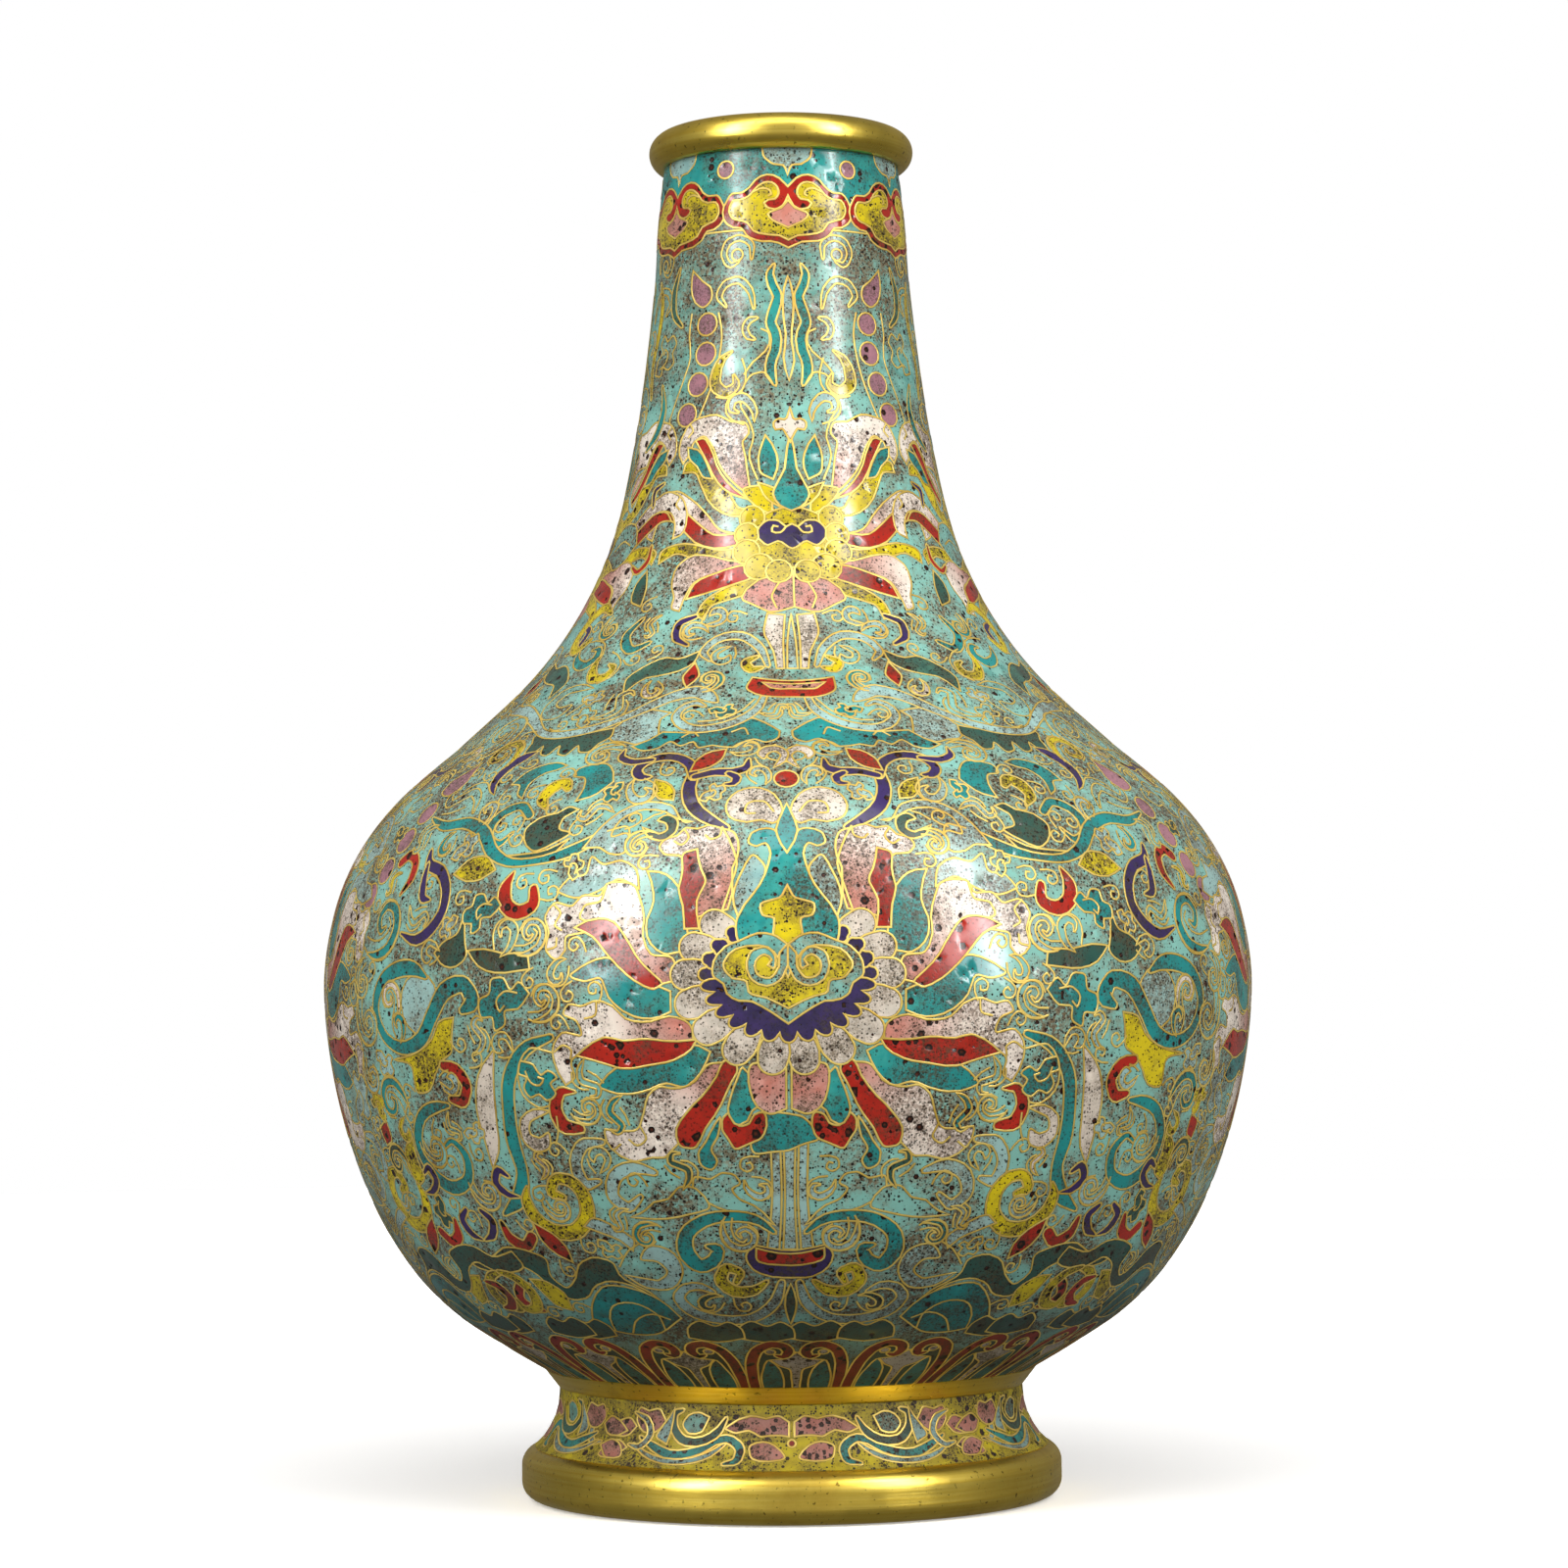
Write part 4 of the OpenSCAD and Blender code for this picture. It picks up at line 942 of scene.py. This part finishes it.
def neck_upper(s, strings=True):
    """Flame ribbons between strings of beads, and the scrolls round them."""
    s.middle = 2.5
    s.stroke("teal", "8.4,208,1 10.2,204,3 9.2,199,3.8 7,194,3.8 8.2,188.4,4.4 9.8,183,4.2 7.6,176.6,4.2 "
                     "8,170.6,4.2 9.8,165.4,4 9.6,160.6,3.8 8,156.6,1.4")
    s.cell("pale_blue", "2.5,203! 4.4,196 4.6,186 3.6,176 4.6,166 2.5,158! .4,166 1.4,176 .4,186 "
                        ".6,196", both=False)
    s.line("14,180 11,178.6 10,175 12,170.4 17,166 20.6,161")
    s.stroke("pale_blue", "15.6,184.6,1 18.4,184,2.4 20.6,181,2.4 19,176.6,2.2 16.6,175.6,1")
    s.line("9,157 12.4,161.6 17,161 21,155 21.6,149 18,142.6 16,137 17.4,129 14,120")
    s.stroke("turquoise", "17,189,1 19,197,2.6 24,201.6,3 30.6,200,3 33,195,2.6 29.6,190.4,1")
    s.stroke("pale_blue", "18.4,211,1 18.6,217.4,2.4 23.6,220.6,2.6 29.6,218.6,2.8 31.4,213,2.6 28,208.6,2.2 "
                          "24.4,210,1")
    s.bead("white", "25,213,2.6")
    if not strings:
        return
    s.cell("lavender", "48,208! 48.4,200 45.6,193.6 40.6,191 37,194 37.4,199 42,202.6")
    s.bead("lavender", "38.4,183.4,4.9 38.2,170.8,4.9 41,158.4,4.8 45,146.4,4.6")
    s.line("33,188 31,180 31.4,170 33.4,160 37,150 40,143 45,139")
    s.line("47,189 47.6,180 46,170 49,160 52.6,150 54,144 50,139")


def collar(s):
    """Ruyi heads under the mouth, with lavender beads and pale half-lobes over them."""
    s.middle = 3
    s.cell("teal", "-100,224! 100,224! 100,268! -100,268!", both=False)
    s.cell("turquoise", "-100,206! 100,206! 100,226! 84,229 63,223 42,229 33,233! 24,229 3,223 -18,229 "
                        "-27,233! -36,229 -57,223 -78,229 -87,233! -100,230!", both=False, wired=False)
    for k in (-2, -1, 0, 1):
        s.at = np.array([60.0 * k, 0])
        if k > -2:
            s.cell("pale_blue", "-9,268! -7.6,257.6 -3.4,254.4 1,253.8 3,249! 5,253.8 9.4,254.4 13.6,257.6 "
                                "15,268!",
                   both=False)
        s.at = np.array([60.0 * k + 30, 0])
        s.bead("lavender", "3,253,4.2", both=False)
        s.at = np.array([60.0 * k, 0])
        s.cell("red", "3,243.6! 5.6,246.6 9.6,249 14,249.2 18,247 21,243.4 24.4,241.4 29,241.2 32.4,237 "
                      "33.6,233 32.2,228.4 28,225.4 24.4,225 21.6,221.4 16.4,218.8 9,218.2 3,215.4! -3,218.2 "
                      "-10.4,218.8 -15.6,221.4 -18.4,225 -22,225.4 -26.2,228.4 -27.6,233 -26.4,237 -23,241.2 "
                      "-18.4,241.4 -15,243.4 -12,247 -8,249.2 -3.6,249 .4,246.6", both=False)
        s.cell("yellow", "3,219! 7,221 13,221.6 18.6,223.4 21.4,227.2 24.4,228.4 28.4,229.6 30.4,233.4 "
                         "28.4,238 24.2,238.2 20.4,240 17.6,243.4 14,245.6 10.4,245.6 7.8,243.4 7.2,240.2 "
                         "8.8,237.8 12,237.4 13.8,236! 12.6,234.2 9,233 5.4,234.6 3.6,237.8 3,239.4! "
                         "2.4,237.8 .6,234.6 -3,233 -6.6,234.2 -7.8,236! -6,237.4 -2.8,237.8 -1.2,240.2 "
                         "-1.8,243.4 -4.4,245.6 -8,245.6 -11.6,243.4 -14.4,240 -18.2,238.2 -22.4,238 "
                         "-24.4,233.4 -22.4,229.6 -18.4,228.4 -15.4,227.2 -12.6,223.4 -7,221.6 "
                         "-1,221", both=False)
        s.cell("pink", "3,237! 6,233.6 9.4,232.6 12,230.8 10,228 6.4,226.2 3,224.6! -.4,226.2 -4,228 "
                       "-6,230.8 -3.4,232.6 0,233.6", both=False)
        s.line("19,241.4 14.4,243 11.4,242 10.6,240 12,239.2")
    s.at = np.zeros(2)


def foot_frieze(s):
    """Round the foot: pink petals, blue-grey scrolls and small leaves on a yellow-green ground."""
    for x in (0.0, 90.0):
        s.at = np.array([x, 0])
        s.middle = 0
        s.cell("pink", ".6,-80.2! 3,-78.8 6,-79.4 9,-78.8 12.4,-79.6 15.8,-81.8! 13,-82.8 10,-82.2 7,-83.6 "
                       "4,-83.2 .6,-83.6!")
        s.cell("pink", "1.6,-88.6 3.4,-86 6.6,-84.8 9.6,-86 9,-88.6 5,-89.6")
        s.stroke("teal", "15,-90.4,1 12.4,-89.6,1.9 11.8,-86.6,2.2 14.6,-84.3,2.1 17.8,-84.8,2 "
                         "20.4,-86.6,2.1 24,-88,2.3 28.6,-88.4,2.3 33,-86.8,2 37.6,-84.6,.8")
        s.stroke("pale_blue", "15.4,-85.4,.6 18.6,-88,1.4 23,-89.8,1.5 29,-90.2,1.5 34.4,-88.8,1.2 "
                              "39,-86.4,.5")
        s.stroke("green", "15.4,-79.4,.8 17.8,-83,2 21.4,-85,2.2 26.2,-84.6,2.2 28.8,-81.4,2 28.4,-78.6,1.6 "
                          "26.4,-77.8,.8")
        s.cell("turquoise", "19.6,-79.2! 22.4,-78.2 25,-79 26.4,-81.2 25,-83 21.6,-82.8")
        s.cell("pink", "31,-80.6! 33,-77.8 36,-78.4 38.6,-77.8 39.6,-80.6 37,-83.4 33.6,-83.2")
        s.cell("pink", "39.4,-82.2! 41.6,-80.4 45,-81.2 48,-83.4! 45,-84.8 41.4,-84.4")
        s.cell("pink", "40.6,-87.4! 43.6,-85.8 47.4,-87.2 48.6,-89.6 44.6,-90.4")
        s.cell("pale_blue", "28.6,-77.2! 30,-79.4 33,-84.4 29.8,-86!")
        s.stroke("pale_blue", "50,-79,.6 53.6,-80.6,1.6 55,-84,1.8 52.6,-87,1.5 49.6,-86.6,.6")
        s.bead("red", "0,-85.2,.9", both=False)
    s.at = np.zeros(2)


# Small motifs of the ground, drawn in a circle of radius 1: ribbons that curl in at one end, leaves, wires.
SCROLL = ("-.95,-.6,.05 -.8,.05,.26 -.35,.62,.34 .3,.72,.34 .78,.3,.32 .72,-.25,.28 .25,-.45,.25 -.08,-.1,.2 "
          ".15,.12,.06")
COMMA = "-.95,.45,.05 -.5,.6,.26 .1,.5,.42 .6,.1,.5 .55,-.45,.42 .05,-.6,.3 -.2,-.25,.08"
WAVE = "-1,-.45,.05 -.62,.1,.28 -.15,.28,.34 .25,-.05,.32 .6,-.35,.3 .95,-.05,.2 .8,.3,.06"
CLOUD = "-.95,-.35! -.8,.15 -.45,.1 -.4,.55 0,.75 .3,.45 .7,.5 .95,.05 .6,-.2 .75,-.55 .3,-.6 .1,-.3 -.35,-.5"
LEAF = "-.95,-.3! -.65,.4 .1,.8 .8,.4 .9,-.3 .4,-.75 -.1,-.5 .3,-.2 .35,.2 -.1,.35 -.45,.1"
HOOK = "-.85,-.9 -1,-.2 -.75,.55 -.1,.95 .6,.8 .98,.2 .8,-.5 .3,-.72"
MOTIFS = (((SCROLL, "ribbon"), (HOOK, "wire"), ("-.5,-.9 -.45,-.3 -.1,.25 .3,.35 .45,.1", "wire")),
          ((COMMA, "ribbon"), ("-.95,-.1 -.6,-.6 0,-.95 .65,-.75 .95,-.2", "wire")),
          ((CLOUD, "leaf"), ("-.6,-.1 -.2,.2 .2,.1 .25,-.2 0,-.15", "wire")),
          ((WAVE, "ribbon"), ("-.8,.5 -.3,.75 .3,.45 .45,.15", "wire"), ("-.4,-.3 .05,-.6 .55,-.75", "wire")),
          ((LEAF, "leaf"), ("-.9,-.6 -.3,-.9 .2,-.95", "wire")))
CURL = "-1,-.4 -.6,.3 .05,.75 .7,.45 .7,-.2 .2,-.45 -.15,0 .15,.25"
GROUND_ENAMELS = ("turquoise", "pale_blue", "turquoise", "teal", "pale_blue", "turquoise", "green",
                  "turquoise", "teal", "pale_blue", "turquoise", "pale_blue", "yellow", "turquoise", "teal",
                  "white")


def fill_ground(s, rng):
    """Fills what is left of the ground with clouds, leaves and curls, the largest first. One goes where its
    circle touches nothing else, and its mirror image stands on the other side."""
    cell = 0.5
    us = np.arange(-s.HALF, s.HALF, cell) + cell / 2
    low, high = -47.0, 214.0
    ws = np.arange(low, high, cell) + cell / 2
    raster = np.stack(np.meshgrid(us, ws), -1).reshape(-1, 2)
    taken = (s.labels(raster)[0] >= 0).reshape(len(ws), len(us))
    taken |= taken[:, ::-1]
    s.middle = 0
    for radius, tries in ((7, 500), (5.2, 1500), (4, 3000), (3, 6000), (2.3, 7000), (1.8, 7000)):
        for _ in range(tries):
            w = low + (high - low) * rng.random()**1.6
            r = radius / float(s.skin.mm(w))
            u = rng.uniform(r * 0.5, s.HALF)
            j = slice(max(0, int((w - r - low) / cell)), int((w + r - low) / cell) + 1)
            i = slice(max(0, int((u - r + s.HALF) / cell)), int((u + r + s.HALF) / cell) + 1)
            near = np.hypot(us[None, i] - u, ws[j, None] - w) < 0.9 * r
            if w + r > high or w - r < low or (w > 90 and radius < 3) or (taken[j, i] & near).any():
                continue
            taken[j, i] |= near
            motif = MOTIFS[rng.integers(0, len(MOTIFS))] if radius > 2 else ((CURL, "wire"),)
            enamel = GROUND_ENAMELS[rng.integers(0, len(GROUND_ENAMELS))]
            turn = rng.uniform(0, 2 * np.pi)
            spin = 1.1 * r * np.array([[np.cos(turn), np.sin(turn)], [-np.sin(turn), np.cos(turn)]])
            for text, sort in motif:
                points, corner = read(text)
                points = np.hstack([points[:, :2] @ spin + (u, w), 1.1 * r * points[:, 2:]])
                path = curve(points, corner, sort == "leaf", s.fine(points))
                if sort == "wire":
                    for image in s.spread(path, True):
                        s.lines.append((s.number, image))
                    s.number += 2
                else:
                    s.put(enamel, ribbon(path, s.fine(points)) if sort == "ribbon" else path, True)


# ---- Rings ----

def ring(name, node, profile, slot, material, around=240):
    """A turned ring: a closed profile (r, z) in mm carried round the axis, (r cos a, r sin a, z)."""
    a = np.linspace(0, 2 * np.pi, around, endpoint=False)[:, None]
    r, z = profile.T
    verts = np.stack([r * np.cos(a), r * np.sin(a), z + 0 * a], -1).reshape(-1, 3) * MM
    n = len(profile)
    i, j = n * np.arange(around)[:, None], n * ((np.arange(around) + 1) % around)[:, None]
    c, d = np.arange(n), (np.arange(n) + 1) % n
    quads = np.stack([i + c, j + c, j + d, i + d], -1).reshape(-1, 4)
    obj = mesh_object(name, verts, quads.tolist(), material)
    finish_piece(obj, (node,))
    return obj


def arc(centre, radius, start, stop, n):
    """n points on a circle, from one angle to another in degrees."""
    a = np.radians(np.linspace(start, stop, n))
    return np.stack([centre[0] + radius * np.cos(a), centre[1] + radius * np.sin(a)], -1)


def dense(points, n=4):
    """Straight sides with n points each, so that smooth shading stays near the corners."""
    points = np.array(points, float)
    t = (np.arange(n) / n)[:, None]
    return np.concatenate([p + (q - p) * t for p, q in zip(points, np.roll(points, -1, 0))])


def mouth_profile():
    """A round bar of radius 3.6, bored to r 18 and cut flat at z 244.4."""
    bar, centre, cut = 3.6, (20.9, 247.4), 244.4
    low = math.degrees(math.asin((cut - centre[1]) / bar))
    inner = 180 - math.degrees(math.acos((centre[0] - 18) / bar))
    body = arc(centre, bar, low, inner, 40)
    bore = np.stack([np.full(8, 18.0), np.linspace(body[-1, 1], cut, 9)[1:]], -1)
    flat = np.stack([np.linspace(18, body[0, 0], 6)[1:-1], np.full(4, cut)], -1)
    return np.concatenate([body, bore, flat])


def foot_profile():
    """A heavy ring with a rounded lower edge, an upright side and a rounded shoulder."""
    side = np.stack([np.full(6, 49.4), np.linspace(3, 6, 8)[1:-1]], -1)
    top = np.stack([np.linspace(46, 41, 8)[1:], np.full(7, 9.4)], -1)
    bore = np.stack([np.full(8, 41.0), np.linspace(9.4, 0, 9)[1:]], -1)
    under = np.stack([np.linspace(41, 46.4, 8)[1:-1], np.zeros(6)], -1)
    edge, shoulder = arc((46.4, 3), 3, -90, 0, 10), arc((46, 6), 3.4, 0, 90, 12)
    return np.concatenate([edge, side, shoulder, top, bore, under])


def waist_profile():
    """The band over the joint of body and foot, 0.25 mm proud of the enamel on both sides."""
    foot_r, body_r, proud = 42.4, 44.8, 0.25
    k = outline(BODY, 23.4)[1]
    n = math.sqrt(1 + k * k)
    stations = np.array([(foot_r, 20.3), ((foot_r + body_r) / 2, 21.85), (body_r, 23.4)]) + (proud, 0)
    outer = curve(stations, np.zeros(3, bool), False, 0.4)
    inner = dense([(41.4, 23.4 + k / n), (41.4, 20.3)])[:5]
    return np.concatenate([outer, [(body_r - 1 / n, 23.4 + k / n)], inner, [(42, 20.3)]])


# ---- Building ----

body_skin, foot_skin = Skin(BODY, 94, 0), Skin(FOOT, 9.4, -92.2)
rng = np.random.default_rng(7)


def petal_tips(u, w):
    """0 in the root of a petal and 1 at its tip, by the distance from the middle of its flower."""
    across = (u + 45) % 90 - 45
    low = np.hypot(across, w * 1.1)
    high = np.hypot((u - 2.5 + 45) % 90 - 45, (w - 101) * 0.9)
    return np.where(w < 50, np.clip((low - 14) / 7, 0, 1)**1.2,
                    np.clip((high - 22) / 16, 0, 1) * (w < 150) * (w > 60))


PALE = {"body": petal_tips}
ENAMEL_TOP, ENAMEL_FOOT = 0.02, 0.98    # depth in mm of the enamel's face, and of its foot on the copper

body = Sheet("body", body_skin, body_skin.rise(23.4), body_skin.rise(244.4), "turquoise", 2.3, 0.75,
             (("lower", body_skin.rise(93)), ("upper", body_skin.rise(150)), ("neck", TOP)))
side_motifs(body)
upper_side(body)
for turn in (0.0, 90.0):
    body.at = np.array([turn, 0])
    body.middle = 0
    below_lotus(body)
    over_lotus(body)
    belly_lotus(body)
    neck_upper(body, turn == 0)
    neck_lotus(body)
body.at = np.zeros(2)
neck_sides(body)
lappets(body)
collar(body)
fill_ground(body, rng)
body.build(rng, 0.3)
body.slabs(ENAMEL_TOP, ENAMEL_FOOT, {
    "lower": ("belly_enamel",), "upper": ("belly_enamel", "shoulder_enamel"), "neck": ("neck_enamel",),
    "teal": ("lappet_enamel", "collar_enamel"), "red": ("tie_bands", "lappet_inlays", "ruyi_inlays"),
    "pink": ("belly_lotus_petals", "neck_lotus_petals"), "yellow": ("belly_lotus_hearts",),
    "cobalt": ("neck_lotus_hearts",), "lavender": ("bead_strings", "collar_beads")})
body.cloisons(WIRE_WIDTH, {"lower": ("belly_lotus_wires",), "upper": ("belly_lotus_wires",)})

foot = Sheet("foot", foot_skin, foot_skin.rise(9.4), foot_skin.rise(20.3), "yellow", 1.6, 0.6)
foot_frieze(foot)
foot.build(rng, 1.0)
foot.slabs(ENAMEL_TOP, ENAMEL_FOOT, {"yellow": ("foot_enamel",), "pink": ("foot_inlays",)})
foot.cloisons(WIRE_WIDTH, {})

ring("mouth_ring", "mouth_rim", mouth_profile(), "gilt_bronze", GILT["ring"])
ring("waist_band", "waist_collar", waist_profile(), "gilt_bronze", GILT["ring"])
ring("foot_ring", "foot_rim", foot_profile(), "gilt_bronze", GILT["ring"])
for nodes, material in ((("neck_tube", "upper_body", "lower_body", "foot_skirt"), COPPER),
                        (("neck_lining", "body_lining"), COUNTER), (("base_plate",), GILT["ring"])):
    for node in nodes:
        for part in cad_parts[node].material_slots:
            part.link = "OBJECT"
            part.material = material


# ---- Light and camera ----

def softbox(name, azimuth, elevation, distance, size, power, aim=(0, 0, 0.13), tint=(1, 1, 1)):
    """A rectangular light at that angle from the front, seen from the vase."""
    light = bpy.data.lights.new(name, "AREA")
    light.shape = "RECTANGLE"
    light.size, light.size_y = size
    light.energy = power
    light.color = tint
    obj = bpy.data.objects.new(name, light)
    a, e = math.radians(azimuth), math.radians(elevation)
    way = Vector((math.sin(a) * math.cos(e), -math.cos(a) * math.cos(e), math.sin(e)))
    obj.location = Vector(aim) + way * distance
    obj.rotation_euler = way.to_track_quat("Z", "Y").to_euler()
    bpy.context.scene.collection.objects.link(obj)


for side, azimuth in (("left", -44), ("right", 49)):
    softbox(side + "_box", azimuth * 0.9, 30, 1.1, (0.34, 1.1), 6.8, tint=(1, 0.97, 0.94))
    softbox(side + "_strip", azimuth, 24, 1.05, (0.07, 1.0), 5)
softbox("high_fill", 0, 64, 1.2, (0.8, 0.5), 4)
softbox("front_wall", 0, 0, 1.5, (2.2, 0.8), 1.2, (0, 0, 0.1), (1, 0.965, 0.9))

def pale_floor(radius=1.2):
    """A disc under the vase, its edge at radius (cos a, sin a): shaded near the foot, plain white further
    out. It throws no light back on the vase."""
    g = Graph("pale_floor")
    away = g.add("VectorMath", {0: g.place()}, out=1, operation="LENGTH")
    glow = g.maths("ADD", g.band(away, 0.08, 0.5, 0.75), 0.3)
    white = g.finish(base_color=(0.9, 0.9, 0.9, 1), roughness=1.0, emission_color=(1, 1, 1, 1),
                     emission_strength=glow)
    a = np.linspace(0, 2 * np.pi, 96, endpoint=False)
    verts = np.stack([radius * np.cos(a), radius * np.sin(a), np.full(96, -0.0002)], -1)
    obj = mesh_object("floor", verts, [list(range(96))], white)
    obj.visible_diffuse = obj.visible_glossy = False


pale_floor()
# The world: plain white behind the vase, and a dim warm light on it, dimmer from below.
world = bpy.data.worlds.new("studio")
bpy.context.scene.world = world
world.use_nodes = True
tree = world.node_tree
tree.nodes.clear()
seen = tree.nodes.new("ShaderNodeLightPath")
shown = tree.nodes.new("ShaderNodeBackground")
lit = tree.nodes.new("ShaderNodeBackground")
mix = tree.nodes.new("ShaderNodeMixShader")
end = tree.nodes.new("ShaderNodeOutputWorld")
shown.inputs["Color"].default_value = (1, 1, 1, 1)
lit.inputs["Color"].default_value = (1, 0.965, 0.9, 1)
way = tree.nodes.new("ShaderNodeTexCoord")
height = tree.nodes.new("ShaderNodeSeparateXYZ")
dim = tree.nodes.new("ShaderNodeMapRange")
for key, value in (("From Min", -0.35), ("From Max", 0.25), ("To Min", 0.14), ("To Max", 0.2)):
    dim.inputs[key].default_value = value
for a, b in ((way.outputs["Generated"], height.inputs[0]), (height.outputs[2], dim.inputs["Value"]),
             (dim.outputs[0], lit.inputs["Strength"]),
             (seen.outputs["Is Camera Ray"], mix.inputs[0]), (lit.outputs[0], mix.inputs[1]),
             (shown.outputs[0], mix.inputs[2]), (mix.outputs[0], end.inputs[0])):
    tree.links.new(a, b)

camera = bpy.data.cameras.new("camera")
camera.lens, camera.sensor_width = 96.75, 36
eye = bpy.data.objects.new("camera", camera)
bpy.context.scene.collection.objects.link(eye)
bpy.context.scene.camera = eye
# The camera stands 0.78 m in front of the axis, at a third of the vase's height, and looks slightly up.
tilt, roll = math.radians(2.69), 0.0084
eye.matrix_world = (Matrix.Translation((-0.0004, -0.778, 0.0936))
                    @ Matrix.Rotation(math.pi / 2 + tilt, 4, "X") @ Matrix.Rotation(-roll, 4, "Z"))
bpy.context.scene.view_settings.view_transform = "Standard"
